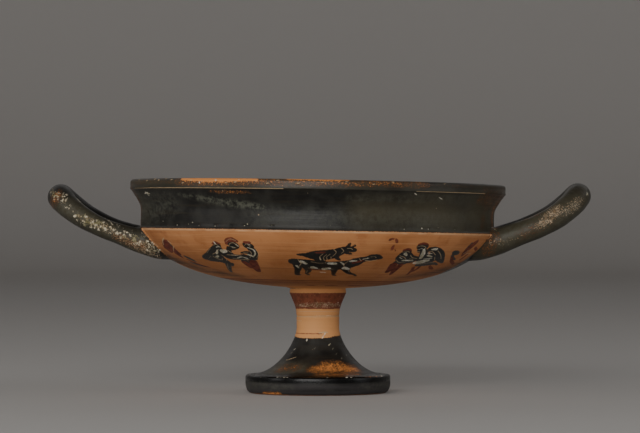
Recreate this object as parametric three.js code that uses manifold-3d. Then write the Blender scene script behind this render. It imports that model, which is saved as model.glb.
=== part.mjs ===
// A wheel-made drinking cup of fired clay: a wide, shallow bowl with an offset concave lip, on a short stem
// and a trumpet-shaped hollow foot, with two loop handles that rise from the bowl to the height of the lip.
// The potter throws bowl and foot apart, rolls the handles, and lutes all of them into one piece before firing.
//
// Millimetres, +Z up. The origin is the centre of the foot's resting ring, on the surface that the cup stands on.
// +X runs through the right-hand handle, and the front of the cup faces -Y.
import * as THREE from "three";
import { mergeVertices } from "three/addons/utils/BufferGeometryUtils.js";
import Module from "manifold-3d";

const wasm = await Module();
wasm.setup();

// Driving dimensions, all measured from the axis and from the surface that the cup stands on.
const segments = 60; // around the axis
const rim = { radius: 105.2, top: 117.7, bandBase: 114.1, bandStep: 0.5, edgeRound: 1.3 };
const lip = { baseRadius: 99.0, base: 91.3 };
const shoulder = { radius: 99.6, height: 90.5 }; // the edge where lip and bowl meet
const wall = 4.2; // thickness of bowl and lip
const floorHeight = 64.2; // inside, at the centre
const stem = { collarRadius: 15.7, collarTop: 58.6, collarBase: 56.2, waistRadius: 11.95, waist: 40 };
const foot = { radius: 40.7, flareRadius: 38.2, flareEdge: 10.4, ringInner: 33.2, ringOuter: 38.2 };
const footHollow = { topRadius: 6.5, top: 46, edgeRadius: 32.4, edge: 1.2 };
const groove = { height: 43.1, halfWidth: 0.7, depth: 0.5 }; // turned into the stem
const bowlLean = THREE.MathUtils.degToRad(1); // the bowl sits a little lower on its right
const bowlShift = -0.9; // and its lip comes back over the foot
const rod = { tipRadius: 7.2, rootRadius: 8.8, sides: 12, steps: 28 };
const loop = { rootX: 99.7, rootHalfSpan: 18.5, widestHalfSpan: 21, insideRise: 0.21, buried: 33 };
const leftHandle = {
  side: -1,
  armRadius: 5.4,
  rootHeight: 86.3,
  rise: 0.314, // of the arms, for each millimetre outwards
  tipX: 144.5,
  tipHeight: 109.8,
  curlPower: 3.1, // how late the tip curls up
  backArmLift: 1.4,
};
const rightHandle = {
  side: 1,
  armRadius: 6.5,
  rootHeight: 85.1,
  rise: 0.352,
  tipX: 146,
  tipHeight: 110.4,
  curlPower: 4.2,
  backArmLift: 0.4,
};

const firedClay = new THREE.MeshStandardMaterial({ color: 0xb4713c, roughness: 0.55, metalness: 0 });

const at = (radius, height) => new THREE.Vector2(radius, height);
const bezier = (...points) => new THREE.CubicBezierCurve(...points);

// Joins corner points and curves into one profile. A curve is sampled at the given number of steps.
function profile(...parts) {
  const points = [];
  for (const part of parts) {
    const next = part.isVector2 ? [part] : part.curve.getPoints(part.steps);
    for (const point of next) {
      const last = points.at(-1);
      if (!last || last.distanceTo(point) > 1e-3) points.push(point);
    }
  }
  return points;
}

const quarterRound = (x, y, radius, from, to, steps) => ({
  curve: new THREE.EllipseCurve(x, y, radius, radius, from, to, to < from),
  steps,
});

// Turns a profile, listed anticlockwise with the radius to the right, about the upright axis.
function turned(points) {
  return new THREE.LatheGeometry(points, segments).rotateX(Math.PI / 2);
}

function solid(geometry) {
  const bare = geometry.clone();
  bare.deleteAttribute("normal");
  bare.deleteAttribute("uv");
  const merged = mergeVertices(bare, 1e-3);
  const vertProperties = new Float32Array(merged.attributes.position.array);
  const triVerts = new Uint32Array(merged.index.array);
  return new wasm.Manifold(new wasm.Mesh({ numProp: 3, vertProperties, triVerts }));
}

function geometryOf(manifold) {
  const mesh = manifold.getMesh();
  const geometry = new THREE.BufferGeometry();
  geometry.setAttribute("position", new THREE.BufferAttribute(mesh.vertProperties, 3));
  geometry.setIndex(new THREE.BufferAttribute(mesh.triVerts, 1));
  geometry.computeVertexNormals();
  return geometry;
}

// The bowl's inner surface, from the centre of the floor to the inner edge of the lip, grown into the wall by grow.
function bowlHollow(grow) {
  const inner = (radius, height, drop = 0) => at(radius - wall + grow, height - drop * grow);
  return profile(
    at(0, floorHeight - grow),
    {
      curve: bezier(
        at(0, floorHeight - grow),
        at(58, floorHeight - grow),
        inner(94.5, 73.6, 1),
        inner(shoulder.radius - 0.6, shoulder.height + 1),
      ),
      steps: 8,
    },
    { curve: bezier(...lipCurvePoints().map((point) => inner(point.x, point.y + 0.6))), steps: 3 },
  );
}

// The lip's concave outer curve, from the shoulder up to the band round the rim.
function lipCurvePoints() {
  return [
    at(lip.baseRadius, lip.base),
    at(99.2, 103.8),
    at(97.6, 101.6),
    at(rim.radius - rim.bandStep, rim.bandBase - 0.6),
  ];
}

function bowl() {
  const rounding = rim.edgeRound;
  const crown = rim.top - rounding;
  const innerEdge = rim.radius - wall;
  const points = profile(
    at(0, stem.collarTop - 0.2),
    at(stem.collarRadius - 0.3, stem.collarTop),
    {
      curve: bezier(
        at(stem.collarRadius - 0.3, stem.collarTop),
        at(56.8, 61.4),
        at(89.0, 69.7),
        at(shoulder.radius, shoulder.height - 0.4),
      ),
      steps: 10,
    },
    at(shoulder.radius, shoulder.height + 0.3),
    { curve: bezier(...lipCurvePoints()), steps: 5 },
    at(rim.radius + 0.1, rim.bandBase),
    quarterRound(rim.radius - rounding, crown, rounding, 0, Math.PI / 2, 2),
    quarterRound(innerEdge + rounding, crown, rounding, Math.PI / 2, Math.PI, 2),
    ...bowlHollow(0).reverse(),
  );
  return solid(turned(points));
}

// Everything inside the middle of the bowl's wall, used to end the handles inside that wall.
function bowlCore() {
  const points = bowlHollow(wall / 2);
  const above = rim.top + 20;
  points.push(at(points.at(-1).x, above), at(0, above));
  return solid(turned(points));
}

function stemAndFoot() {
  const insideBowl = stem.collarTop + 2.6;
  const points = profile(
    {
      curve: bezier(
        at(0, footHollow.top),
        at(footHollow.topRadius, footHollow.top),
        at(14, 8),
        at(footHollow.edgeRadius, footHollow.edge),
      ),
      steps: 7,
    },
    at(foot.ringInner, 0),
    at(foot.ringOuter, 0),
    { curve: bezier(at(foot.ringOuter, 0), at(40.2, 1.2), at(foot.radius, 3.6), at(foot.radius, 7.2)), steps: 3 },
    { curve: bezier(at(foot.radius, 7.2), at(foot.radius, 9.2), at(39.9, 10.3), at(foot.flareRadius, foot.flareEdge)), steps: 2 },
    {
      curve: bezier(at(foot.flareRadius, foot.flareEdge), at(22.6, 9.9), at(10.9, 30.2), at(stem.waistRadius, stem.waist - 2)),
      steps: 8,
    },
    at(stem.waistRadius, groove.height - groove.halfWidth),
    at(stem.waistRadius - groove.depth, groove.height),
    at(stem.waistRadius + 0.05, groove.height + groove.halfWidth),
    { curve: bezier(at(12.05, 44.6), at(12.5, 51), at(14.6, 50.6), at(stem.collarRadius - 0.1, stem.collarBase - 1)), steps: 3 },
    at(stem.collarRadius + 0.15, stem.collarBase),
    at(stem.collarRadius, stem.collarTop - 1),
    at(stem.collarRadius - 0.3, insideBowl),
    at(0, insideBowl),
  );
  return solid(turned(points));
}

// The centre line of one handle: out from the front root, round the tip and back to the rear root. Seen from
// above it is a horseshoe, and seen from the front it rises ever more steeply to the tip.
function handleCurve({ side, rootHeight, rise, tipX, tipHeight, curlPower, backArmLift }) {
  const reach = tipX - loop.rootX;
  const curl = tipHeight - rootHeight - rise * reach;
  const heightAt = (x) => {
    const out = x - loop.rootX;
    return rootHeight + (out < 0 ? loop.insideRise * out : rise * out + curl * (out / reach) ** curlPower);
  };
  const bendX = tipX - loop.widestHalfSpan - 3;
  const arm = [
    [loop.rootX - loop.buried, loop.rootHalfSpan],
    [loop.rootX - loop.buried / 2, loop.rootHalfSpan],
    [loop.rootX, loop.rootHalfSpan],
    [(loop.rootX + bendX) / 2, (loop.rootHalfSpan + loop.widestHalfSpan) / 2],
    [bendX, loop.widestHalfSpan],
  ];
  const bend = [25, 50, 72].map((degrees) => {
    const angle = THREE.MathUtils.degToRad(degrees);
    return [bendX + (tipX - bendX) * Math.sin(angle), loop.widestHalfSpan * Math.cos(angle)];
  });
  const half = [...arm, ...bend];
  const plan = [...half.map(([x, y]) => [x, -y]), [tipX, 0], ...half.reverse()];
  const points = plan.map(([x, y]) => {
    const lift = (backArmLift / 2) * (y / loop.rootHalfSpan);
    return new THREE.Vector3(side * x, y, heightAt(x) + lift);
  });
  return new THREE.CatmullRomCurve3(points, false, "centripetal");
}

// A closed rod of round section along a curve, with its radius given by radiusAt, from 0 to 1 along the curve.
function rodAlong(curve, radiusAt, steps, sides) {
  const { normals, binormals } = curve.computeFrenetFrames(steps, false);
  const positions = [];
  const ring = (i, k) => i * sides + (k % sides);
  for (let i = 0; i <= steps; i += 1) {
    const centre = curve.getPointAt(i / steps);
    const radius = radiusAt(i / steps);
    for (let k = 0; k < sides; k += 1) {
      const angle = (2 * Math.PI * k) / sides;
      const point = centre
        .clone()
        .addScaledVector(normals[i], radius * Math.cos(angle))
        .addScaledVector(binormals[i], radius * Math.sin(angle));
      positions.push(point.x, point.y, point.z);
    }
  }
  const faces = [];
  for (let i = 0; i < steps; i += 1) {
    for (let k = 0; k < sides; k += 1) {
      faces.push(ring(i, k), ring(i, k + 1), ring(i + 1, k));
      faces.push(ring(i, k + 1), ring(i + 1, k + 1), ring(i + 1, k));
    }
  }
  for (let k = 1; k < sides - 1; k += 1) {
    faces.push(ring(0, 0), ring(0, k + 1), ring(0, k));
    faces.push(ring(steps, 0), ring(steps, k), ring(steps, k + 1));
  }
  const geometry = new THREE.BufferGeometry();
  geometry.setAttribute("position", new THREE.Float32BufferAttribute(positions, 3));
  geometry.setIndex(faces);
  return geometry;
}

function handle(sizes) {
  const radiusAt = (share) => {
    const fromTip = Math.abs(2 * share - 1);
    const towardsTip = THREE.MathUtils.smoothstep(1 - fromTip, 0.55, 1);
    const towardsRoot = THREE.MathUtils.smoothstep(fromTip, 0.45, 0.9);
    const { armRadius } = sizes;
    return armRadius + (rod.tipRadius - armRadius) * towardsTip + (rod.rootRadius - armRadius) * towardsRoot;
  };
  return solid(rodAlong(handleCurve(sizes), radiusAt, rod.steps, rod.sides));
}

// Bowl and handle-ending core lean together about the top of the stem.
function leaning(manifold) {
  const lean = new THREE.Matrix4()
    .makeTranslation(bowlShift, 0, stem.collarTop)
    .multiply(new THREE.Matrix4().makeRotationY(bowlLean))
    .multiply(new THREE.Matrix4().makeTranslation(0, 0, -stem.collarTop));
  return manifold.transform(lean.elements);
}

const core = leaning(bowlCore());
let cup = leaning(bowl()).add(stemAndFoot());
for (const sizes of [leftHandle, rightHandle]) cup = cup.add(handle(sizes).subtract(core));

const kylix = new THREE.Mesh(geometryOf(cup), firedClay);
kylix.name = "kylix";

const part = new THREE.Group();
part.add(kylix);

export default part;
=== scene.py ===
import math

import bmesh
import bpy
import numpy as np
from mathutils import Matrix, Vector


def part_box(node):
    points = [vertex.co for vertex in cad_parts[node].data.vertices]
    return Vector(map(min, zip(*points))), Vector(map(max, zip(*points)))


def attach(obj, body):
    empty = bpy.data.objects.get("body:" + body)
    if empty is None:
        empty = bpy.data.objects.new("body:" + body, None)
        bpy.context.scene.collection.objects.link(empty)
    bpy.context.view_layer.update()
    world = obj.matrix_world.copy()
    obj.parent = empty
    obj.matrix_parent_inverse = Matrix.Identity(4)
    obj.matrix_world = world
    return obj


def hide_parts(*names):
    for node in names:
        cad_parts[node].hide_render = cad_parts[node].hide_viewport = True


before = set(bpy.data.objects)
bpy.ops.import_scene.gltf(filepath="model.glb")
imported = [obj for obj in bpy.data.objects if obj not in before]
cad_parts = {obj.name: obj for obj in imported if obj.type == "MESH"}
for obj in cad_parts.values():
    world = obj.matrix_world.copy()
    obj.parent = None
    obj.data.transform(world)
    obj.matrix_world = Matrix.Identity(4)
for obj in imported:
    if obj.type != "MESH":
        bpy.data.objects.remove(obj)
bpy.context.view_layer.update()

# --- The studio -----------------------------------------------------------------------------------
# The cup stands on a sheet of pale paper that sweeps up behind it. A long lens looks at it level, from just
# under its shoulder, and large soft lamps stand in front of it and to both sides.

cup_low, cup_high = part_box("kylix")
mm = (cup_high[1] - cup_low[1]) / 210.6  # one of the cup's millimetres: its lip is 210.6 across
degree = math.pi / 180


def soft_lamp(name, watts, size, place, aim, tint):
    light = bpy.data.lights.new(name, "AREA")
    light.shape = "RECTANGLE"
    light.size, light.size_y = size
    light.energy = watts
    light.color = tint
    lamp = bpy.data.objects.new(name, light)
    lamp.location = place
    lamp.rotation_euler = (Vector(aim) - Vector(place)).to_track_quat("-Z", "Y").to_euler()
    lamp.visible_camera = False
    bpy.context.collection.objects.link(lamp)


def principled(name):
    material = bpy.data.materials.new(name)
    material.use_nodes = True
    return material, material.node_tree, material.node_tree.nodes["Principled BSDF"]


# camera
view_distance = 1750 * mm
view_height = 86 * mm
view_centre = 98.8 * mm  # the height of the picture's middle, over the axis of the cup
view_aside = 1.2 * mm
camera_data = bpy.data.cameras.new("camera")
camera_data.lens = 175.3
camera_data.sensor_width = 36
camera_data.clip_end = 20
camera = bpy.data.objects.new("camera", camera_data)
camera.location = (view_aside, -view_distance, view_height)
camera.rotation_euler = (math.pi / 2 - math.atan((view_height - view_centre) / view_distance), 0, 0)
bpy.context.collection.objects.link(camera)
bpy.context.scene.camera = camera

# paper sweep, all round, so that the cup can be looked at from every side
floor_reach = 6.2
sweep_radius = 1.5
sweep_top = 3.2
sweep_sides = 64
sweep_steps = 12
sweep_line = [(floor_reach * share, 0.0) for share in (0.02, 0.1, 0.3, 0.6, 1)]
for step in range(1, sweep_steps + 1):
    turn = step / sweep_steps * math.pi / 2
    sweep_line.append((
        floor_reach + sweep_radius * math.sin(turn),
        sweep_radius * (1 - math.cos(turn)),
    ))
sweep_line.append((floor_reach + sweep_radius, sweep_top))
sweep_points = [
    (r * math.cos(side / sweep_sides * 2 * math.pi), r * math.sin(side / sweep_sides * 2 * math.pi), z)
    for r, z in sweep_line for side in range(sweep_sides)
]
sweep_faces = [tuple(range(sweep_sides))]
for row in range(len(sweep_line) - 1):
    for side in range(sweep_sides):
        after = (side + 1) % sweep_sides
        below, above = row * sweep_sides, (row + 1) * sweep_sides
        sweep_faces.append((below + side, above + side, above + after, below + after))
sweep_mesh = bpy.data.meshes.new("paper_sweep")
sweep_mesh.from_pydata(sweep_points, [], sweep_faces)
for face in sweep_mesh.polygons:
    face.use_smooth = True
paper_sweep = bpy.data.objects.new("paper_sweep", sweep_mesh)
bpy.context.collection.objects.link(paper_sweep)
paper, _, paper_shader = principled("pale paper")
paper_shader.inputs["Base Color"].default_value = (0.5, 0.485, 0.465, 1)
paper_shader.inputs["Roughness"].default_value = 0.9
sweep_mesh.materials.append(paper)

# lamps
soft_lamp("front_lamp", 60, (2.4, 1.5), (-0.65, -2.9, 0.8), (0, 0, 0.07), (1, 0.985, 0.96))
soft_lamp("left_lamp", 5, (0.7, 1.2), (-1.9, -0.7, 0.6), (0, 0, 0.08), (1, 0.98, 0.96))
soft_lamp("right_lamp", 4, (0.7, 1.2), (1.9, -0.6, 0.6), (0, 0, 0.08), (0.97, 0.98, 1))

# the room's air is lit low down and dark overhead
world = bpy.data.worlds.new("studio air")
world.use_nodes = True
air = world.node_tree
upward = air.nodes.new("ShaderNodeSeparateXYZ")
air.links.new(air.nodes.new("ShaderNodeTexCoord").outputs["Generated"], upward.inputs[0])
dimming = air.nodes.new("ShaderNodeMapRange")
dimming.inputs["From Min"].default_value = 0.3
dimming.inputs["From Max"].default_value = 0.8
dimming.inputs["To Min"].default_value = 0.76
dimming.inputs["To Max"].default_value = 0.04
air.links.new(upward.outputs["Z"], dimming.inputs["Value"])
air.nodes["Background"].inputs["Color"].default_value = (1, 0.97, 0.96, 1)
air.links.new(dimming.outputs[0], air.nodes["Background"].inputs["Strength"])
bpy.context.scene.world = world

# --- The thrown body ------------------------------------------------------------------------------
# Bowl, lip, stem and hollow foot are turned on the wheel from orange clay: a bowl with a sharp shoulder and
# a concave lip under a narrow band, on a stem with a collar, over a trumpet foot with a thick edge.

rim_radius = 105.2
rim_top = 117.7
band_base = 112.6  # lower corner of the narrow band round the rim
wall = 4.2
floor_height = 64.2
collar_radius = 15.7
waist_radius = 11.95
foot_radius = 40.7
bowl_lean = 1 * degree  # the bowl sits a little lower on its right
bowl_shift = -0.9
lean_height = 58.6  # the bowl leans about the top of the stem
body_facets = 240
finer_in_front = 0.25
wheel_marks = 0.12
out_of_round = 0.0035


def bezier(start, first, second, end, steps):
    t = np.linspace(0, 1, steps + 1)[:, None]
    start, first, second, end = (np.array(point, float) for point in (start, first, second, end))
    return (1 - t) ** 3 * start + 3 * (1 - t) ** 2 * t * first + 3 * (1 - t) * t**2 * second + t**3 * end


def arc(centre, radius, first_degrees, last_degrees, steps):
    turns = np.radians(np.linspace(first_degrees, last_degrees, steps + 1))
    return np.stack([centre[0] + radius * np.cos(turns), centre[1] + radius * np.sin(turns)], axis=1)


def straight(*points):
    return np.array(points, float)


# radius and height along the wall, from the middle of the hollow under the foot, out, up and in again
lip_outline = bezier((99.05, 91.6), (99.2, 103.8), (97.6, 101.6), (rim_radius - 0.55, band_base - 0.65), 18)
lip_inside = lip_outline[::-1][::2] + (-wall, 0.6)
body_outline = {
    "foot hollow": bezier((0, 46), (6.5, 46), (14, 8), (32.4, 1.2), 12),
    "resting ring": straight((32.8, 0.5), (33.2, 0.12), (33.9, 0), (37.4, 0), (38.3, 0.25)),
    "foot edge": np.concatenate([
        bezier((39.1, 0.8), (40.2, 1.8), (foot_radius, 3.9), (foot_radius, 6.9), 6),
        bezier((foot_radius, 7.8), (foot_radius + 0.1, 9.7), (40.3, 10.3), (38.9, 10.4), 6),
    ]),
    "flare": bezier((38.0, 10.42), (22.6, 10.0), (10.9, 30.2), (waist_radius, 38), 22),
    "stem": straight(
        (waist_radius, 39.6), (waist_radius, 41.2), (waist_radius, 42.4), (11.78, 42.8), (11.72, 43.1),
        (11.82, 43.4), (12.05, 43.8),
    ),
    "collar flare": bezier((12.08, 44.6), (12.4, 49), (13.9, 51), (collar_radius - 0.1, 55.4), 8),
    "collar": straight(
        (collar_radius + 0.1, 55.9), (collar_radius + 0.2, 56.2), (collar_radius + 0.1, 56.6),
        (collar_radius, 57.4), (collar_radius - 0.1, 58.1), (collar_radius + 0.1, 58.6),
    ),
    "bowl": bezier((17.2, 58.95), (57.4, 61.5), (88.9, 69.6), (99.45, 89.9), 46),
    "shoulder": straight((99.62, 90.45), (99.6, 90.85), (99.35, 91.2)),
    "lip": lip_outline,
    "rim band": np.concatenate([
        straight((rim_radius - 0.25, band_base - 0.45), (rim_radius + 0.05, band_base - 0.15)),
        straight((rim_radius + 0.12, band_base + 0.25), (rim_radius, band_base + 1.2)),
        arc((rim_radius - 1.5, rim_top - 1.5), 1.5, 0, 90, 5),
        arc((rim_radius - wall + 1.3, rim_top - 1.3), 1.3, 90, 180, 4),
    ]),
    "inside lip": lip_inside,
    "inside bowl": bezier((99.0 - wall, 91.2), (90.2, 73.4), (57, floor_height), (0, floor_height), 26),
}


def new_tree(name, inputs):
    """A Geometry Nodes tree with inputs from (name, kind, value) rows, and the sockets they come out of."""
    tree = bpy.data.node_groups.new(name, "GeometryNodeTree")
    tree.interface.new_socket("Geometry", in_out="INPUT", socket_type="NodeSocketGeometry")
    tree.interface.new_socket("Geometry", in_out="OUTPUT", socket_type="NodeSocketGeometry")
    for input_name, kind, value in inputs:
        socket = tree.interface.new_socket(input_name, in_out="INPUT", socket_type=f"NodeSocket{kind}")
        if value is not None:
            socket.default_value = value
    return tree, tree.nodes.new("NodeGroupInput").outputs


def node(tree, kind, links=None, **settings):
    """Adds a node. links maps an input's name or number to a socket or to a plain value."""
    made = tree.nodes.new(kind)
    for name, value in settings.items():
        setattr(made, name, value)
    for name, value in (links or {}).items():
        if isinstance(value, bpy.types.NodeSocket):
            tree.links.new(value, made.inputs[name])
        else:
            made.inputs[name].default_value = value
    return made


def calculate(tree, operation, *values):
    return node(tree, "ShaderNodeMath", dict(enumerate(values)), operation=operation).outputs[0]


def vector_math(tree, operation, *vectors, **named):
    """One sum on vectors. A dot product gives a number, and the others give a vector."""
    made = node(tree, "ShaderNodeVectorMath", {**dict(enumerate(vectors)), **named}, operation=operation)
    return made.outputs["Value" if operation == "DOT_PRODUCT" else "Vector"]


def arithmetic(tree):
    """Plus, minus and times for the values of one tree."""
    def named(operation):
        return lambda *values: calculate(tree, operation, *values)
    return named("ADD"), named("SUBTRACT"), named("MULTIPLY")


def end_tree(tree, geometry, material):
    real = node(tree, "GeometryNodeRealizeInstances", {"Geometry": geometry})
    coloured = node(tree, "GeometryNodeSetMaterial", {"Geometry": real.outputs[0], "Material": material})
    tree.links.new(coloured.outputs[0], tree.nodes.new("NodeGroupOutput").inputs[0])
    return tree


def wheel_tree():
    """Turns a profile, given as points with the radius in X, into a closed body round the Z axis."""
    tree, given = new_tree("thrown on the wheel", (
        ("Facets", "Int", 96),
        ("Finer In Front", "Float", 0.0),
        ("Wheel Marks", "Float", 0.0),
        ("Out Of Round", "Float", 0.0),
        ("Lean", "Float", 0.0),
        ("Lean From", "Float", 0.0),
        ("Shift", "Float", 0.0),
        ("Seed", "Float", 4.0),
        ("Material", "Material", None),
    ))
    plus, minus, times = arithmetic(tree)
    facets = given["Facets"]
    profile = given["Geometry"]
    rows = node(tree, "GeometryNodeAttributeDomainSize", {"Geometry": profile}).outputs["Point Count"]
    across = plus(facets, 1)
    grid = node(tree, "GeometryNodeMeshGrid", {
        "Size X": 1.0, "Size Y": 1.0, "Vertices X": rows, "Vertices Y": across,
    })
    index = tree.nodes.new("GeometryNodeInputIndex").outputs[0]
    row = calculate(tree, "FLOOR", calculate(tree, "DIVIDE", plus(index, 0.5), across))
    column = minus(index, times(row, across))
    share = calculate(tree, "DIVIDE", column, facets)
    full = times(share, 2 * math.pi)
    crowding = times(given["Finer In Front"], calculate(tree, "SINE", full))
    angle = minus(minus(crowding, full), math.pi / 2)

    position = tree.nodes.new("GeometryNodeInputPosition").outputs[0]
    sampled = node(tree, "GeometryNodeSampleIndex", {
        "Geometry": profile, "Value": position, "Index": row,
    }, data_type="FLOAT_VECTOR")
    place = node(tree, "ShaderNodeSeparateXYZ", {0: sampled.outputs[0]}).outputs
    radius, height = place["X"], place["Z"]

    # the potter's fingers leave faint rings, and the leather-hard clay is a little out of round
    cosine = calculate(tree, "COSINE", angle)
    sine = calculate(tree, "SINE", angle)
    ring_place = node(tree, "ShaderNodeCombineXYZ", {
        0: times(cosine, 0.4), 1: times(sine, 0.4), 2: plus(times(height, 300.0), given["Seed"]),
    }).outputs[0]
    rings = node(tree, "ShaderNodeTexNoise", {"Vector": ring_place, "Scale": 1.6, "Detail": 2.0})
    ring_depth = times(minus(rings.outputs["Fac"], 0.5), given["Wheel Marks"])
    round_place = node(tree, "ShaderNodeCombineXYZ", {
        0: cosine, 1: sine, 2: plus(times(height, 12.0), given["Seed"]),
    }).outputs[0]
    swells = node(tree, "ShaderNodeTexNoise", {"Vector": round_place, "Scale": 0.9, "Detail": 1.0})
    swell = times(minus(swells.outputs["Fac"], 0.5), given["Out Of Round"])
    real_radius = times(radius, plus(1.0, swell))
    away = calculate(tree, "MINIMUM", times(radius, 100.0), 1.0)
    real_radius = plus(real_radius, times(ring_depth, away))
    standing = node(tree, "ShaderNodeCombineXYZ", {
        0: times(real_radius, cosine), 1: times(real_radius, sine), 2: height,
    }).outputs[0]

    # the bowl leans, and everything below the point that it leans from stays upright
    pivot = node(tree, "ShaderNodeCombineXYZ", {2: given["Lean From"]}).outputs[0]
    leaned = node(tree, "ShaderNodeVectorRotate", {
        "Vector": standing, "Center": pivot, "Axis": (0.0, 1.0, 0.0), "Angle": given["Lean"],
    })
    offset = node(tree, "ShaderNodeCombineXYZ", {0: given["Shift"]}).outputs[0]
    final_place = node(tree, "GeometryNodeSwitch", {
        "Switch": calculate(tree, "GREATER_THAN", height, given["Lean From"]),
        "False": standing, "True": vector_math(tree, "ADD", leaned.outputs[0], offset),
    }, input_type="VECTOR").outputs[0]

    turned = node(tree, "GeometryNodeSetPosition", {
        "Geometry": grid.outputs["Mesh"], "Position": final_place,
    })
    closed = node(tree, "GeometryNodeMergeByDistance", {"Geometry": turned.outputs[0], "Distance": 2e-6})
    return end_tree(tree, closed.outputs[0], given["Material"])


wheel = wheel_tree()


def line_object(name, points):
    """An object whose mesh is one open line through the points, which are in metres."""
    mesh = bpy.data.meshes.new(name)
    mesh.from_pydata([tuple(point) for point in points], [(i, i + 1) for i in range(len(points) - 1)], [])
    line = bpy.data.objects.new(name, mesh)
    bpy.context.collection.objects.link(line)
    return line


def work(piece, tree, **inputs):
    """Puts a tree on a piece and sets its named inputs by their identifiers."""
    modifier = piece.modifiers.new(tree.name, "NODES")
    modifier.node_group = tree
    sockets = {item.name: item.identifier for item in tree.interface.items_tree if item.in_out == "INPUT"}
    for name, value in inputs.items():
        modifier[sockets[name.replace("_", " ")]] = value


def made_plain(piece, name):
    """The piece's finished shape as a plain mesh object. The working piece is removed."""
    evaluated = piece.evaluated_get(bpy.context.evaluated_depsgraph_get())
    mesh = bpy.data.meshes.new_from_object(evaluated)
    mesh.name = name
    bpy.data.objects.remove(piece)
    plain = bpy.data.objects.new(name, mesh)
    bpy.context.collection.objects.link(plain)
    return plain


fired_clay, clay_tree, clay_shader = principled("painted clay")
outline = np.concatenate(list(body_outline.values()))
thrown = line_object("thrown_body", [(r * mm, 0, z * mm) for r, z in outline])
work(
    thrown, wheel, Facets=body_facets, Finer_In_Front=finer_in_front, Wheel_Marks=wheel_marks * mm,
    Out_Of_Round=out_of_round, Lean=bowl_lean, Lean_From=lean_height * mm, Shift=bowl_shift * mm,
    Material=fired_clay,
)
thrown_body = made_plain(thrown, "thrown_body")

# --- The handles ----------------------------------------------------------------------------------
# Each handle is a rolled rod of the same clay, bent to a horseshoe while damp. It leaves the bowl just
# under the shoulder, rises to the height of the lip, and is pressed on to the wall with a little clay
# worked round it.

tip_radius = 7.2
root_radius = 8.8
fillet_radius = 3.0
root_x = 99.7
root_half_span = 18.5
widest_half_span = 21
rise_inside = 0.21
buried = 33  # how far the rod is carried on towards the axis before its end is cut off inside the wall
line_steps = 24  # between each two points of a handle's line, before it is evenly divided
rod_rings = 104
rod_sides = 36
rod_lumps = 0.5
core_facets = 96
arm_radii = {"left_handle": 5.4, "right_handle": 6.5}
handle_shapes = {
    "left_handle": {
        "side": -1, "root_height": 86.3, "rise": 0.314, "tip_x": 144.5, "tip_height": 109.8,
        "curl_power": 3.1, "back_lift": 1.4,
    },
    "right_handle": {
        "side": 1, "root_height": 85.1, "rise": 0.352, "tip_x": 146, "tip_height": 110.4,
        "curl_power": 4.2, "back_lift": 0.4,
    },
}


def handle_line(side, root_height, rise, tip_x, tip_height, curl_power, back_lift):
    """Points along a handle's centre, from inside the wall in front, round the tip and back."""
    reach = tip_x - root_x
    curl = tip_height - root_height - rise * reach
    bend_x = tip_x - widest_half_span - 3
    half = [(x, root_half_span) for x in (root_x - buried, root_x - buried / 2, root_x)]
    half += [((root_x + bend_x) / 2, (root_half_span + widest_half_span) / 2), (bend_x, widest_half_span)]
    for turn in (25, 50, 72):
        half.append((
            bend_x + (tip_x - bend_x) * math.sin(turn * degree),
            widest_half_span * math.cos(turn * degree),
        ))
    plan = [(x, -y) for x, y in half] + [(tip_x, 0)] + half[::-1]
    points = []
    for x, y in plan:
        out = x - root_x
        if out < 0:
            height = root_height + rise_inside * out
        else:
            height = root_height + rise * out + curl * (out / reach) ** curl_power
        points.append((side * x, y, height + back_lift / 2 * y / root_half_span))
    return points


def between(t, low, high, start, end):
    """The place at t on the straight way from start, which is at low, to end, which is at high."""
    return (high - t) / (high - low) * start + (t - low) / (high - low) * end


def smooth_line(points, steps):
    """A centripetal Catmull-Rom line through the points, evenly divided."""
    points = np.array(points, float)
    points = np.vstack([2 * points[0] - points[1], points, 2 * points[-1] - points[-2]])
    fine = []
    for four in zip(points, points[1:], points[2:], points[3:]):
        knots = np.cumsum([0, *(np.linalg.norm(end - start) ** 0.5 for start, end in zip(four, four[1:]))])
        for t in np.linspace(knots[1], knots[2], line_steps, endpoint=False):
            sides = [between(t, knots[i], knots[i + 1], four[i], four[i + 1]) for i in range(3)]
            inner = [between(t, knots[i], knots[i + 2], sides[i], sides[i + 1]) for i in range(2)]
            fine.append(between(t, knots[1], knots[2], *inner))
    fine = np.array([*fine, points[-2]])
    length = np.concatenate([[0], np.cumsum(np.linalg.norm(np.diff(fine, axis=0), axis=1))])
    even = np.linspace(0, length[-1], steps)
    return np.stack([np.interp(even, length, fine[:, axis]) for axis in range(3)], axis=1)


def eased(tree, value, low, high, at_low=0.0, at_high=1.0):
    """Takes a value smoothly from one end to the other between low and high."""
    made = node(tree, "ShaderNodeMapRange", {
        "Value": value, "From Min": low, "From Max": high, "To Min": at_low, "To Max": at_high,
    }, interpolation_type="SMOOTHSTEP")
    return made.outputs[0]


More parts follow.
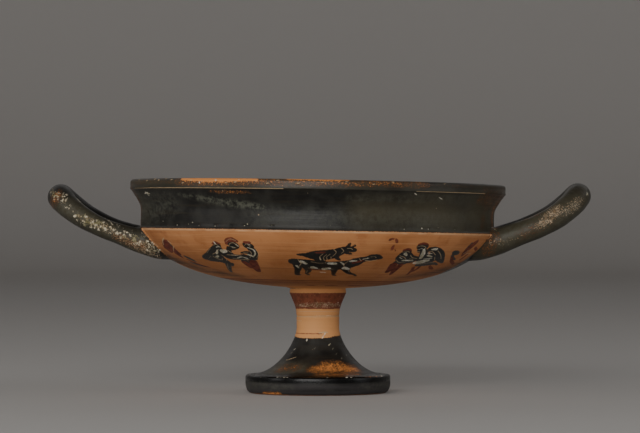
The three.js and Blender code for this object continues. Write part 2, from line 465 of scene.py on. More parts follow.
def rod_tree():
    """Rolls a rod along a line. It swells at its tip and roots, and flares where it meets the wall."""
    tree, given = new_tree("rolled rod", (
        ("Arm Radius", "Float", 0.0),
        ("Tip Radius", "Float", 0.0),
        ("Root Radius", "Float", 0.0),
        ("Sides", "Int", 12),
        ("Fillet", "Float", 0.0),
        ("Wall", "Object", None),
        ("Unevenness", "Float", 0.0),
        ("Seed", "Float", 0.0),
        ("Material", "Material", None),
    ))
    plus, minus, times = arithmetic(tree)
    line = node(tree, "GeometryNodeMeshToCurve", {"Mesh": given["Geometry"]}).outputs[0]
    factor = tree.nodes.new("GeometryNodeSplineParameter").outputs["Factor"]
    from_tip = calculate(tree, "ABSOLUTE", minus(times(factor, 2.0), 1.0))

    more_at_tip = minus(given["Tip Radius"], given["Arm Radius"])
    more_at_root = minus(given["Root Radius"], given["Arm Radius"])
    swelling = plus(
        times(more_at_tip, eased(tree, from_tip, 0.0, 0.45, 1.0, 0.0)),
        times(more_at_root, eased(tree, from_tip, 0.45, 0.9, 0.0, 1.0)),
    )
    tapered = eased(tree, from_tip, 0.74, 1.0, 1.0, 0.45)
    radius = times(plus(given["Arm Radius"], swelling), tapered)
    section = node(tree, "GeometryNodeCurvePrimitiveCircle", {"Resolution": given["Sides"], "Radius": 1.0})
    rod = node(tree, "GeometryNodeCurveToMesh", {
        "Curve": line, "Profile Curve": section.outputs["Curve"], "Scale": radius, "Fill Caps": True,
    }).outputs[0]

    # worked-on clay fills the corner between rod and wall with a quarter round
    wall_shape = node(tree, "GeometryNodeObjectInfo", {"Object": given["Wall"]}).outputs["Geometry"]
    nearest = node(tree, "GeometryNodeProximity", {0: wall_shape}, target_element="FACES").outputs
    gap = nearest["Distance"]
    short = calculate(tree, "MAXIMUM", minus(given["Fillet"], gap), 0.0)
    square = minus(times(given["Fillet"], given["Fillet"]), times(short, short))
    full_flare = minus(given["Fillet"], calculate(tree, "SQRT", calculate(tree, "MAXIMUM", square, 0.0)))
    spot = tree.nodes.new("GeometryNodeInputPosition").outputs[0]
    normal = tree.nodes.new("GeometryNodeInputNormal").outputs[0]
    outwards = vector_math(tree, "NORMALIZE", vector_math(tree, "SUBTRACT", spot, nearest["Position"]))
    corner = minus(1.0, calculate(tree, "ABSOLUTE", vector_math(tree, "DOT_PRODUCT", normal, outwards)))
    seed_step = node(tree, "ShaderNodeCombineXYZ", {0: given["Seed"]}).outputs[0]
    lumps = node(tree, "ShaderNodeTexNoise", {
        "Vector": vector_math(tree, "ADD", spot, seed_step), "Scale": 90.0, "Detail": 2.0,
    }).outputs["Fac"]
    lump = times(minus(lumps, 0.5), given["Unevenness"])
    push = vector_math(tree, "SCALE", normal, Scale=plus(times(full_flare, corner), lump))
    shaped = node(tree, "GeometryNodeSetPosition", {"Geometry": rod, "Offset": push})
    return end_tree(tree, shaped.outputs[0], given["Material"])


rod = rod_tree()
handles = []
for number, (name, shape) in enumerate(handle_shapes.items()):
    line = line_object(name, smooth_line(handle_line(**shape), rod_rings) * mm)
    work(
        line, rod, Arm_Radius=arm_radii[name] * mm, Tip_Radius=tip_radius * mm,
        Root_Radius=root_radius * mm, Sides=rod_sides, Fillet=fillet_radius * mm, Wall=thrown_body,
        Unevenness=rod_lumps * mm, Seed=3.0 + number, Material=fired_clay,
    )
    handles.append(made_plain(line, name))

# everything inside the middle of the bowl's wall, to end the rods inside that wall
core_steps = np.concatenate([
    straight((0, rim_top + 20), (94.6 + wall / 2, rim_top + 20)),
    lip_inside + (wall / 2, 0),
    bezier((99.0 - wall / 2, 91.2), (91.2, 71.4), (57, floor_height - 2.4), (0, floor_height - 2.4), 24),
])[::-1]
core_line = line_object("bowl_core", [(r * mm, 0, z * mm) for r, z in core_steps])
work(
    core_line, wheel, Facets=core_facets, Finer_In_Front=0.0, Lean=bowl_lean, Lean_From=lean_height * mm,
    Shift=bowl_shift * mm, Material=fired_clay,
)
bowl_core = made_plain(core_line, "bowl_core")

# --- The luted cup --------------------------------------------------------------------------------
# Foot, bowl and handles are joined with wet slip and fired together, so they are one body of clay with
# no seams. The rods' ends are cut off inside the wall first.


def joined(piece, operation, others):
    for other in others:
        cutter = piece.modifiers.new(other.name, "BOOLEAN")
        cutter.operation = operation
        cutter.solver = "MANIFOLD"
        cutter.object = other
    return made_plain(piece, piece.name)


ended_handles = [joined(handle, "DIFFERENCE", [bowl_core]) for handle in handles]
kylix = joined(thrown_body, "UNION", ended_handles)
for leftover in (*ended_handles, bowl_core):
    bpy.data.objects.remove(leftover)
kylix.name = "kylix_cup"
kylix.data.name = "kylix_cup"

# --- The painted slip -----------------------------------------------------------------------------
# The painter brushed fine clay slip on with the cup still unfired, and it fired black. Cherry red and
# white went over it, and a point was drawn through the black for the inner lines. Bare clay is left
# round the frieze.

outline_length = np.concatenate([[0], np.cumsum(np.linalg.norm(np.diff(outline, axis=0), axis=1))])
stretch_rows = {}
first_row = 0
for stretch, points in body_outline.items():
    stretch_rows[stretch] = slice(first_row, first_row + len(points))
    first_row += len(points)
shoulder_length = outline_length[stretch_rows["shoulder"]][0]


def length_at(stretch, height):
    """The length along the outline at which a stretch of it reaches a height."""
    rows = stretch_rows[stretch]
    heights, lengths = outline[rows, 1], outline_length[rows]
    if heights[0] > heights[-1]:
        heights, lengths = heights[::-1], lengths[::-1]
    crest = heights.argmax() + 1  # the rim band comes down again inside
    return np.interp(height, heights[:crest], lengths[:crest])


def upright(places):
    """Takes the bowl's lean out of places that are given in millimetres."""
    x, y, z = places[:, 0], places[:, 1], places[:, 2]
    cosine, sine = math.cos(bowl_lean), math.sin(bowl_lean)
    over = z > lean_height
    up = z - lean_height
    level_x = np.where(over, (x - bowl_shift) * cosine - up * sine, x)
    level_z = np.where(over, lean_height + up * cosine + (x - bowl_shift) * sine, z)
    return np.stack([level_x, y, level_z], axis=1)


def wall_places(turns, lengths):
    radii = np.interp(lengths, outline_length, outline[:, 0])
    heights = np.interp(lengths, outline_length, outline[:, 1])
    turns = np.radians(turns)
    return np.stack([radii * np.sin(turns), -radii * np.cos(turns), heights], axis=1)


def flowing(points):
    """A hand's line through (turn, length, half width) points."""
    points = np.array(points, float)
    if len(points) == 1:
        return np.vstack([points, points])
    if len(points) == 2:
        return np.array([points[0] + share * (points[1] - points[0]) for share in np.linspace(0, 1, 5)])
    ends = np.vstack([2 * points[0] - points[1], points, 2 * points[-1] - points[-2]])
    line = []
    for before, start, end, after in zip(ends, ends[1:], ends[2:], ends[3:]):
        for t in np.linspace(0, 1, 5, endpoint=False):
            line.append(0.5 * (
                2 * start + (end - before) * t + (2 * before - 5 * start + 4 * end - after) * t * t
                + (3 * start - before - 3 * end + after) * t**3
            ))
    return np.array([*line, points[-1]])


def wall_chain(points):
    """Balls along a brush line through points (degrees from the front, length of outline, half width)."""
    line = flowing(points)
    return np.column_stack([wall_places(line[:, 0], line[:, 1]), np.maximum(line[:, 2], 0.12)])


painted = {"slip": [], "cherry": [], "white": [], "incised": []}
frieze_drop = 2.6  # the frieze hangs lower, and is taller, at the middle of each side
frieze_growth = 0.04


def paint_group(strokes, centre, mirrored=False):
    """Strokes are (paint, *points). A point is (degrees from the middle, mm down the wall, half width)."""
    side = -1 if mirrored else 1
    facing = abs(math.cos(centre * degree))
    top = shoulder_length - frieze_drop * facing
    tallness = 1 + frieze_growth * facing
    for colour, *points in strokes:
        painted[colour].append(wall_chain([
            (centre + side * turn, top - down * tallness, half) for turn, down, half in points
        ]))


def stretch_chain(stretch, points):
    """A chain on one stretch, through points (degrees, height above the table, half width)."""
    return wall_chain([(turn, length_at(stretch, height), half) for turn, height, half in points])


def dab(colour, stretch, *points):
    painted[colour].append(stretch_chain(stretch, points))


seated_pair = [
    # the left one: head, back and cloak, arm, knee and shin
    ("slip", (-2, 8.4, 2.6)),
    ("slip", (-2.2, 9.4, 2.6), (-4.1, 13.6, 4), (-5.6, 18, 4.4), (-4.2, 22, 3.2)),
    ("slip", (-4.6, 11, 1.8), (-8.4, 15.6, 2.2), (-11.6, 18.6, 2.5), (-13.4, 19.4, 0.9)),
    ("slip", (-6.5, 20.6, 2.6), (-10.6, 20, 2.6)),
    ("slip", (-1.6, 12.6, 2.6), (-0.2, 16.6, 3), (3.6, 17.6, 2.6), (6.8, 16.6, 2)),
    ("slip", (-3.4, 23.4, 2.2), (-5.4, 28, 1.6), (-7.8, 32.6, 1.2), (-9.8, 36.6, 0.8)),
    ("slip", (-1.6, 24.4, 1), (-3, 27, 0.9)),
    # the middle one: head, shoulder, lap
    ("slip", (3.2, 6, 1.6), (4.6, 7.8, 2.8), (5.6, 8.6, 1.6), (3.6, 10, 1.8)),
    ("slip", (2.4, 10, 1.6), (1.4, 13.4, 1.8), (2.2, 17.2, 2.4), (6.2, 18.2, 2.4), (9.6, 17.8, 2.6)),
    # the right one: head, back, lap
    ("slip", (9.6, 7.6, 2.5), (10.8, 8.4, 1.9)),
    ("slip", (10.4, 9.6, 2.2), (11, 13.2, 2.4), (9.6, 17, 3)),
    ("slip", (6, 13.6, 0.7), (8.4, 13.2, 1.3), (9.6, 14.6, 1.6)),
    # cloth and legs in cherry over the black
    ("slip", (8.4, 21.4, 2.6), (7.6, 27.4, 2.6), (6.8, 33.8, 1.4)),
    ("slip", (5, 22, 2.2), (5.6, 28, 1.8)),
    ("cherry", (8.6, 22.4, 2.4), (7.6, 27.4, 2.6), (6.6, 34.4, 1.3)),
    ("cherry", (4.6, 23, 1.8), (5.6, 28.6, 1.7)),
    ("cherry", (2, 7, 0.7), (2.8, 4.8, 1.4), (4.7, 3.9, 1.6), (6.4, 5, 1)),
    ("incised", (2.2, 5.6, 0.15), (4.2, 3.6, 0.18), (6.2, 4.6, 0.15)),
    ("cherry", (9, 5.6, 0.9), (10.8, 5.8, 1)),
    ("cherry", (-3.6, 7, 0.5), (-2, 6, 0.8), (-0.4, 7, 0.6)),
    # white
    ("white", (-1.2, 12.6, 1.6), (0.2, 12.2, 1.3)),
    ("white", (-5.8, 17.6, 0.9), (-4.8, 16.8, 0.7)),
    ("white", (-4.6, 14.8, 0.6), (-3.8, 13.4, 0.7), (-3, 11.6, 0.4)),
    ("white", (-2.6, 5.4, 0.4), (-2.3, 6.8, 0.5)),
    ("white", (-2.8, 9.6, 0.3), (-1.6, 9, 0.3), (-0.8, 9.8, 0.3)),
    ("white", (9.4, 9.2, 0.3), (11.3, 11, 0.5), (11.3, 14.2, 0.5), (9.8, 17.2, 0.35)),
    ("white", (8.4, 15, 0.6), (9.6, 16.2, 0.7)),
    ("white", (3, 18.4, 0.4), (5.2, 17.2, 0.4), (7.2, 18.6, 0.35)),
    ("white", (1.6, 15.4, 0.25), (3.8, 16, 0.3)),
    ("white", (5.6, 7, 0.3), (6.3, 8.4, 0.35)),
    ("white", (3.2, 8.8, 0.25), (4.8, 9.4, 0.25)),
    ("white", (10, 6.8, 0.25), (11, 7.6, 0.25)),
    # drawn with the point
    ("incised", (-1.4, 8.4, 0.2), (-2.2, 7.4, 0.2), (-3.4, 8, 0.2)),
    ("incised", (-2.2, 11, 0.2), (-4.4, 13.6, 0.24), (-6.8, 15.4, 0.2)),
    ("incised", (-5.6, 10.4, 0.18), (-9, 14.4, 0.18)),
    ("incised", (-7.4, 17, 0.2), (-6.4, 19.4, 0.24), (-4.8, 20.6, 0.2), (-3.8, 18.6, 0.2)),
    ("incised", (-3, 15.6, 0.2), (-2, 18.4, 0.2), (-3, 21.6, 0.2)),
    ("incised", (-8.4, 17, 0.15), (-11, 19.6, 0.15)),
    ("incised", (-0.4, 15.4, 0.2), (2, 15.8, 0.24), (5.6, 15.6, 0.2)),
    ("incised", (0.8, 18.6, 0.2), (4, 19.4, 0.2), (7.6, 19.6, 0.2)),
    ("incised", (2.6, 8.6, 0.2), (3.6, 6.6, 0.2), (5, 6.2, 0.2), (6, 8.6, 0.2)),
    ("incised", (3.6, 9.8, 0.18), (5.2, 9.6, 0.18)),
    ("incised", (1.2, 11.8, 0.2), (2.4, 13.8, 0.2)),
    ("incised", (8.6, 8, 0.18), (9.6, 6.6, 0.18), (10.6, 8.8, 0.18)),
    ("incised", (9.6, 11.4, 0.2), (9.9, 14, 0.2), (8.4, 17.8, 0.2)),
    ("incised", (12.2, 10.2, 0.18), (12.4, 14.4, 0.2), (11, 17.8, 0.18)),
    ("incised", (6.8, 13.6, 0.18), (8.8, 13.4, 0.18)),
    ("incised", (-4.2, 24.6, 0.18), (-6.6, 29.2, 0.18), (-9, 34.2, 0.15)),
]
beasts = [
    # the one above: tail, body, neck and head, ears, legs
    ("slip", (-9.6, 13.6, 0.7), (-7.6, 13.8, 1.4), (-5.4, 14.2, 2.2)),
    ("slip", (-6, 14.2, 2.2), (-3.2, 14.2, 4), (0.4, 13.8, 4.4), (3.4, 12, 3.6), (5.6, 9.8, 2.8)),
    ("slip", (5.6, 9.6, 2.4), (7.4, 8.8, 2.4), (9.4, 9.4, 1.7)),
    ("slip", (7, 7.2, 0.9), (7.6, 5, 0.8)),
    ("slip", (8.8, 7.4, 0.8), (9.4, 5.8, 0.6)),
    ("slip", (3.2, 13.8, 1.7), (4.2, 16.2, 1.3), (5.2, 17.8, 0.9)),
    ("slip", (6.4, 11.2, 1.2), (8.6, 12.4, 0.8)),
    ("slip", (-2.8, 17.4, 1.8), (-0.6, 19.4, 1.4)),
    # the one below: rump, body, neck, head and horns, legs
    ("slip", (-11.4, 20.4, 3.2), (-6.4, 23, 5), (0.6, 24.8, 5.2), (7, 23.8, 5.2), (11.4, 20.4, 4)),
    ("slip", (11.4, 19, 3.4), (14.6, 16.8, 2.6), (17.6, 15.4, 2.4), (20.2, 15.6, 1.1)),
    ("slip", (15.6, 13.8, 0.9), (18.2, 13.4, 1.2), (20, 14.4, 0.8)),
    (
        "slip", (-10.4, 23.6, 2.6), (-10.6, 29, 2), (-11.4, 33.6, 1.5), (-11.8, 37.6, 1.5),
        (-10.6, 38.2, 0.8),
    ),
    ("slip", (-6.8, 26.6, 2.6), (-6.4, 31.6, 1.7), (-7.4, 35.6, 1), (-6.6, 38, 0.9)),
    ("slip", (4.2, 28, 2.4), (4.6, 33, 1.4), (4.8, 37.2, 1), (6, 38.6, 0.8)),
    ("slip", (8.6, 26, 3), (9.6, 30.4, 1.9), (11.8, 34.6, 1.3), (13.4, 36, 0.7)),
    ("slip", (11.6, 33.8, 0.8), (14, 35.6, 0.8), (15.8, 38.4, 0.8)),
    ("white", (-8.6, 20.4, 1.4), (-7, 22.4, 0.9)),
    ("white", (-4.6, 26.6, 1.4), (-3, 27.6, 0.9)),
    ("white", (1.8, 21.6, 1.3), (4, 21.9, 1.2)),
    ("white", (0, 28.4, 1.4), (2, 27.6, 1.2)),
    ("white", (8.4, 27, 1.8), (9.8, 28, 1.2)),
    ("white", (9.4, 18.9, 0.9), (11.4, 18.6, 0.8)),
    ("white", (6, 20.3, 0.6), (7.4, 22.6, 0.5)),
    ("white", (-10.8, 24.6, 0.7), (-10.2, 27.6, 0.5)),
    ("white", (13.8, 16.8, 0.4), (15.6, 15.8, 0.4)),
    ("white", (-1.4, 33, 0.5), (0.8, 33.6, 0.6)),
    ("white", (-1.6, 18.4, 0.3), (-1.9, 15.6, 0.35)),
    ("cherry", (10.8, 20.6, 1.1), (13.6, 18.4, 1.1)),
    ("cherry", (-3.4, 12, 0.6), (-0.4, 11.4, 0.8)),
    ("cherry", (-5.2, 29, 0.8), (-1, 30, 0.7)),
    ("incised", (-1.4, 18.2, 0.2), (-1.9, 15.4, 0.2), (-0.8, 12.6, 0.2)),
    ("incised", (-0.2, 18.6, 0.2), (-0.6, 15.8, 0.2), (0.4, 13.4, 0.2)),
    ("incised", (0.9, 18.2, 0.2), (0.5, 15.4, 0.2), (1.6, 12.8, 0.2)),
    ("incised", (2.2, 17.6, 0.18), (2, 15, 0.18)),
    ("incised", (2.6, 9.2, 0.18), (3.6, 11.4, 0.2), (2.6, 14.8, 0.18)),
    ("incised", (5, 8, 0.18), (6, 10.2, 0.2), (5.4, 12, 0.18)),
    ("incised", (7, 8.2, 0.18), (8.2, 8.2, 0.18), (8.9, 9, 0.18)),
    ("incised", (-9.8, 18.2, 0.2), (-8.8, 21.8, 0.22), (-10, 26, 0.2)),
    ("incised", (8.6, 18.8, 0.2), (7.4, 22.8, 0.22), (8.4, 26.8, 0.2)),
    ("incised", (-6.4, 27.4, 0.18), (-1, 29, 0.2), (4.2, 28.2, 0.18)),
    ("incised", (12.2, 16.2, 0.18), (13.4, 18.6, 0.18)),
    ("incised", (16, 14.8, 0.18), (17.6, 14.4, 0.18), (18.4, 15.4, 0.18)),
    ("incised", (14.8, 18, 0.3), (16.8, 18.4, 0.3), (19.2, 17.2, 0.2)),
    ("incised", (-5.2, 20, 0.18), (-2, 21.6, 0.18), (0.8, 21, 0.18)),
    ("incised", (-6.8, 31, 0.18), (-7.6, 34.8, 0.15)),
    ("incised", (10, 29, 0.18), (11.4, 32.8, 0.15)),
]
draped_pair = [
    # the left one: head, shoulders and lap, arm
    ("slip", (-7.8, 10.8, 2.4), (-6.6, 10.8, 1.8)),
    ("slip", (-8.4, 12.6, 2.2), (-8.2, 16, 3), (-5.4, 18.2, 3), (-2.2, 18.2, 2.4)),
    ("slip", (-6, 12.8, 2), (-4, 15.4, 2.2), (-1, 16.2, 1.8)),
    ("slip", (-8.4, 20.2, 1.9), (-4.6, 20.8, 1.7)),
    # the middle one: head, chest, back
    ("slip", (-3.4, 6.6, 2.2), (-1.4, 6.8, 2.5), (-2.6, 9.4, 1.8)),
    ("slip", (-1.2, 9, 1.9), (0.6, 13, 3), (2, 17.4, 3.6), (4.6, 19.8, 3.2)),
    ("slip", (1.4, 8.4, 1.5), (4.2, 9.4, 2.7), (8, 12.8, 3.5), (11.6, 16.6, 2.6), (15.4, 20, 0.9)),
    ("slip", (4.4, 13.6, 2.6), (7.4, 16.6, 3)),
    ("slip", (3, 22.6, 2), (7, 21.6, 2.3), (11, 21, 1.4), (14.4, 22.6, 0.5)),
    # cloth and legs in cherry
    ("slip", (-8.8, 22.6, 2.2), (-8, 27.2, 2.1), (-7.4, 32.2, 1.2)),
    ("slip", (-5.4, 22.8, 1.7), (-5.2, 29, 1.7), (-3.8, 35.4, 0.8)),
    ("cherry", (-8.8, 22.6, 2.2), (-8, 27.2, 2.2), (-7.4, 32.6, 1.3)),
    ("cherry", (-5.4, 23, 1.8), (-5.2, 29, 1.8), (-3.5, 36.6, 0.8)),
    ("cherry", (2.4, 25.4, 1), (4.6, 30.4, 1.1), (6.8, 36.4, 0.6)),
    ("cherry", (5.4, 24.8, 1), (6, 29.4, 1), (5.4, 33, 0.6)),
    ("cherry", (-9, 9.4, 0.8), (-7.6, 8.6, 0.9), (-6.2, 9.4, 0.7)),
    ("cherry", (-4.4, 5.2, 0.6), (-2.4, 4.5, 0.8), (-0.4, 5.4, 0.6)),
    ("cherry", (10.4, 23.6, 0.7), (13.6, 26.4, 1.2), (16.4, 27.8, 0.6)),
    # white
    ("white", (-1, 8.8, 0.8), (0, 12.2, 1.4), (0.6, 15.6, 1.1)),
    ("white", (0, 20.4, 1.3), (2.6, 19.6, 2.1), (5.4, 18, 1.1)),
    ("white", (2.4, 8.6, 0.6), (4.6, 8.3, 1)),
    ("white", (2.8, 13.4, 0.8), (5.4, 14.6, 0.6)),
    ("white", (1.8, 11.4, 0.4), (4, 11.8, 0.3)),
    ("white", (2.4, 16.6, 0.4), (6.4, 16, 0.3)),
    ("white", (-7.6, 12.2, 1.1), (-6.6, 13.6, 0.7)),
    ("white", (-6.4, 18.2, 0.8), (-4.6, 18.2, 0.7), (-1.8, 18.4, 0.45)),
    ("white", (-8.8, 15.4, 0.35), (-7.4, 16.6, 0.3)),
    ("white", (-3.4, 8.6, 0.35), (-2, 8.2, 0.35)),
    ("incised", (-9, 11.2, 0.18), (-7.6, 10.2, 0.18), (-6.2, 11, 0.18)),
    ("incised", (-9.2, 14, 0.2), (-7, 15.2, 0.2), (-5.6, 17, 0.2)),
    ("incised", (-9.4, 17.6, 0.18), (-7.6, 20, 0.2), (-4.4, 20.4, 0.18)),
    ("incised", (-5, 13.4, 0.2), (-3.4, 15.4, 0.2), (-0.8, 16.4, 0.2)),
    ("incised", (-4.2, 16.6, 0.2), (-2.4, 17, 0.2)),
    ("incised", (-4.4, 7, 0.18), (-2.8, 6.2, 0.18), (-1, 7, 0.18), (-0.4, 8.4, 0.18)),
    ("incised", (-3.6, 10.4, 0.18), (-2.2, 10.2, 0.18)),
    ("incised", (1.8, 10, 0.2), (3.6, 10.4, 0.2), (6.4, 13, 0.2)),
    ("incised", (5.6, 9.4, 0.18), (8.8, 12.6, 0.2), (11.8, 16.6, 0.18)),
    ("incised", (7, 14.6, 0.18), (8.6, 17.4, 0.2)),
    ("incised", (3, 22.2, 0.18), (7.4, 20.4, 0.2), (10.6, 20.2, 0.18)),
]
flower_spray = [
    ("cherry", (-1.8, 2.2, 0.9), (-0.5, 1.3, 0.5)),
    ("cherry", (0.4, 2.2, 0.9), (0.9, 3.6, 0.9)),
    ("cherry", (0.2, 5.6, 0.5), (0.1, 7.4, 0.95), (0.1, 9.2, 0.6)),
    ("cherry", (1.2, 8.4, 0.3), (1.9, 10.2, 0.4)),
]
large_leaf = [
    ("slip", (-2.2, 11.4, 2.6), (0.4, 8.4, 2.8), (1.4, 13, 2.6), (0.6, 18.4, 1.8)),
    ("cherry", (-4.2, 12, 1.6), (-1.4, 8.6, 2.2), (1.6, 7.4, 1.8)),
    ("cherry", (-3.2, 14.4, 1.8), (0.4, 12, 3), (1.8, 16, 2.2)),
    ("cherry", (-0.4, 16.8, 1.4), (0.6, 20.4, 1.1)),
    ("slip", (3.8, 19, 1), (5.4, 22, 1.9), (6.4, 24.2, 0.8)),
    ("slip", (0.4, 25, 0.8), (4.4, 28.6, 1.2), (8.6, 31.4, 0.6)),
    ("cherry", (2.2, 22.4, 0.7), (5.4, 27.6, 1.1), (9.4, 31.6, 0.7)),
    ("incised", (-3.6, 9.8, 0.3), (-1.4, 6.6, 0.4), (0.6, 5, 0.4)),
    ("incised", (2.4, 6.8, 0.5), (3.2, 8.2, 0.4)),
    ("incised", (-0.4, 14.8, 0.25), (2, 12, 0.3), (3.6, 10.4, 0.25)),
    ("white", (0.4, 4.6, 0.3)),
]
tendril = [
    ("slip", (-8.2, 11.4, 1.4), (-6.4, 12, 2), (-4.4, 12.6, 1)),
    ("slip", (-7.4, 14, 1), (-4.6, 16.4, 1), (-1.4, 18, 0.6)),
    ("cherry", (-6.4, 15.6, 0.8), (-2.4, 19.6, 1.2), (3, 22.6, 0.9)),
    ("cherry", (2.2, 3.8, 1.6), (0.4, 6.6, 2.8), (-0.6, 10.4, 2.6), (0.2, 14, 1.2)),
    ("slip", (-1, 5.4, 1.4), (-1.4, 9.4, 1.6), (0.6, 12.4, 1)),
    ("cherry", (4.4, 7.8, 1), (7.8, 9.4, 1.1)),
    ("cherry", (3.4, 13, 1), (3, 17.6, 1.2)),
    ("incised", (0.6, 9.8, 0.3), (-0.4, 12.6, 0.3)),
    ("incised", (1.8, 12.6, 0.25), (5.4, 12, 0.25)),
]
root_patch = [
    # black carried from a handle's root down over the wall
    ("slip", (-2, 3, 9.4), (-2, 12, 10), (-1, 19, 7), (2, 27, 2.4)),
]
wide_root_patch = [
    ("slip", (4, 5, 16), (4, 14, 19.5), (4, 22, 17)),
]
for centre, mirrored, strokes in (
    (-33, False, seated_pair), (3, False, beasts), (25.4, False, flower_spray),
    (39.2, False, draped_pair), (-61, False, large_leaf), (62.4, False, tendril),
    (180 - 34, True, seated_pair), (180 + 2, True, beasts), (180 + 26, False, flower_spray),
    (180 + 40, True, draped_pair), (180 - 61, True, large_leaf), (180 + 61, False, large_leaf),
    (-81, False, root_patch), (80, False, wide_root_patch), (-100, True, root_patch),
    (100, False, root_patch),
):
    paint_group(strokes, centre, mirrored)

# thin rings and patches of cherry on the shaded underside
ring_step = 12
for turn in range(-180, 180, ring_step):
    for down, half in ((55.6, 0.9), (61.2, 0.38)):  # mm below the shoulder, and half width
        ring_length = shoulder_length - down
        ring_part = wall_chain([(turn, ring_length, half), (turn + ring_step, ring_length, half)])
        painted["cherry"].append(ring_part)
for turn, reach in ((-8, 7), (9, 9), (30, 12), (70, 20), (130, 30), (-150, 35), (-80, 18)):
    paint_group([("cherry", (0, 67.6, 1.2), (reach / 2, 68.0, 1.6), (reach, 67.4, 0.9))], turn)
# a dilute line above the foot's black, fine lines round the stem, and chips on the stem and the foot
for turn in range(-110, 10, 15):
    dab("cherry", "flare", (turn, 33.4, 0.25), (turn + 8, 33.3, 0.32), (turn + 15, 33.4, 0.25))
dab("white", "stem", (-30, 43.5, 0.12), (20, 43.5, 0.2), (80, 43.5, 0.16))
dab("white", "stem", (-85, 40.4, 0.1), (-50, 40.4, 0.12))
for turn in range(-180, 180, 15):
    dab("incised", "stem", (turn, 42.75, 0.2), (turn + 8, 42.7, 0.26), (turn + 15, 42.75, 0.2))
    dab("incised", "collar flare", (turn, 45.8, 0.1), (turn + 8, 45.7, 0.16), (turn + 15, 45.8, 0.1))
dab("incised", "flare", (3, 33.8, 0.3), (19, 34.2, 0.4), (26, 34, 0.3))
dab("white", "flare", (19, 33.6, 0.35), (14, 32, 0.3), (11, 31, 0.45))
for turn, height, size, lean in (
    (-27, 29.6, 0.5, 0), (-54, 24.2, 0.3, 3), (-57, 22.4, 0.25, 2), (24, 27.0, 0.35, 5),
    (30, 24.6, 0.25, 3), (34, 22.0, 0.2, 4), (41, 19.4, 0.25, 2), (-8, 24.8, 0.18, 3), (58, 21, 0.22, 3),
    (160, 26, 0.4, 4), (-150, 20, 0.3, 5), (110, 23, 0.3, -4), (205, 30, 0.4, 2), (95, 17, 0.25, 6),
):
    dab("white", "flare", (turn, height, size), (turn + lean, height + 0.9, size * 0.7))
dab("incised", "flare", (-58, 18.6, 0.2), (-48, 19.4, 0.28), (-38, 20.6, 0.2))
for turn, size in (
    (-34, 0.4), (-31, 0.3), (-28, 0.45), (-25, 0.3), (7, 0.35), (23, 0.5), (27, 0.4), (62, 0.55),
    (150, 0.5), (-120, 0.4),
):
    dab("white", "foot edge", (turn, 10.1, size), (turn + 1.5, 10.25, size * 0.6))
for turn, height, size in (
    (-51, 49.2, 0.35), (-44, 48.6, 0.3), (-36, 49.6, 0.3), (-8, 49.4, 0.28), (-2, 48.8, 0.35),
    (6, 49.2, 0.25), (19, 50.2, 0.3), (24, 48.9, 0.3), (56, 50.4, 0.4), (62, 49.2, 0.3), (68, 48.6, 0.4),
    (140, 49, 0.35),
):
    dab("white", "collar flare", (turn, height, size), (turn + 2, height + 0.3, size * 0.7))
# flecks along the lower edge of the lip, and a few scuffs under the rim
for turn, height, size in (
    (-58, 94.4, 0.3), (-50, 92.4, 0.45), (-44.5, 93, 0.4), (-42.6, 93.9, 0.45), (-40, 92.3, 0.4),
    (-33.5, 92.2, 0.4), (-27.5, 92.3, 0.3), (-23, 92.6, 0.4), (-22, 93.5, 0.45), (-14, 93, 0.3),
    (28, 92.2, 0.4), (34.5, 92.8, 0.55), (37, 92.4, 0.4), (41, 93.4, 0.3), (49, 92.6, 0.4),
    (55, 92.4, 0.35), (120, 93.2, 0.5), (133, 94.5, 0.4), (170, 92.8, 0.4), (-160, 93.3, 0.5),
    (-139, 95.5, 0.4),
):
    dab("white", "lip", (turn, height, size))
dab("white", "lip", (-67.4, 109.5, 0.35), (-65, 109.9, 0.5), (-63.2, 109.2, 0.35))
dab("white", "lip", (-66, 110.8, 0.25), (-65.2, 109.2, 0.4), (-64.6, 108.1, 0.25))
dab("white", "lip", (39, 109.7, 0.2), (41, 108.5, 0.3))
dab("white", "lip", (29.6, 111.4, 0.25), (30.6, 110.6, 0.3))
for turn, height, size in (
    (-37, 115.3, 0.6), (-36.2, 115.9, 0.35), (-31.2, 116.6, 0.6), (-23.6, 117.1, 0.5),
    (-20.4, 115.2, 0.3),
):
    dab("white", "rim band", (turn, height, size))
# pale lines along the rim band's lower corner, a painted highlight on that sharp edge
dab("incised", "rim band", (-74, 112.5, 0.15), (-50, 112.5, 0.24), (-30, 112.5, 0.22), (-10, 112.5, 0.24))
for turn, height, size in (
    (-70, 117, 0.35), (-63, 116.4, 0.3), (-58, 117.2, 0.4), (-55.6, 116.6, 0.3), (-52, 117.3, 0.35),
    (-49, 116.8, 0.3), (-44, 115, 0.25), (-40.6, 116.4, 0.3), (-28, 115.2, 0.25), (-25, 115.6, 0.3),
    (-18.6, 116.4, 0.25), (-15, 115.2, 0.25), (-12, 116.8, 0.3), (-6, 115.4, 0.3), (1, 116, 0.25),
    (8, 116.6, 0.25), (16, 115.6, 0.25), (22, 117, 0.3), (40, 116.8, 0.25), (95, 116.6, 0.35),
    (128, 115.8, 0.4), (162, 116.6, 0.4), (-140, 116.2, 0.35),
):
    dab("incised", "rim band", (turn, height, size), (turn + 0.8, height + 0.2, size * 0.7))
# the same painted highlight along the band's lower corner, on the right
dab("incised", "rim band", (30, 112.45, 0.18), (48, 112.45, 0.2), (60, 112.45, 0.18))

stained = {"misfired": [], "worn": [], "lime": [], "olive": [], "bloom": [], "smoke": []}


def stain(kind, strength, softness, stretch, *points):
    """A soft patch on one stretch. Past its half width it fades over its softness, in mm."""
    stained[kind].append((strength, softness, stretch_chain(stretch, points)))


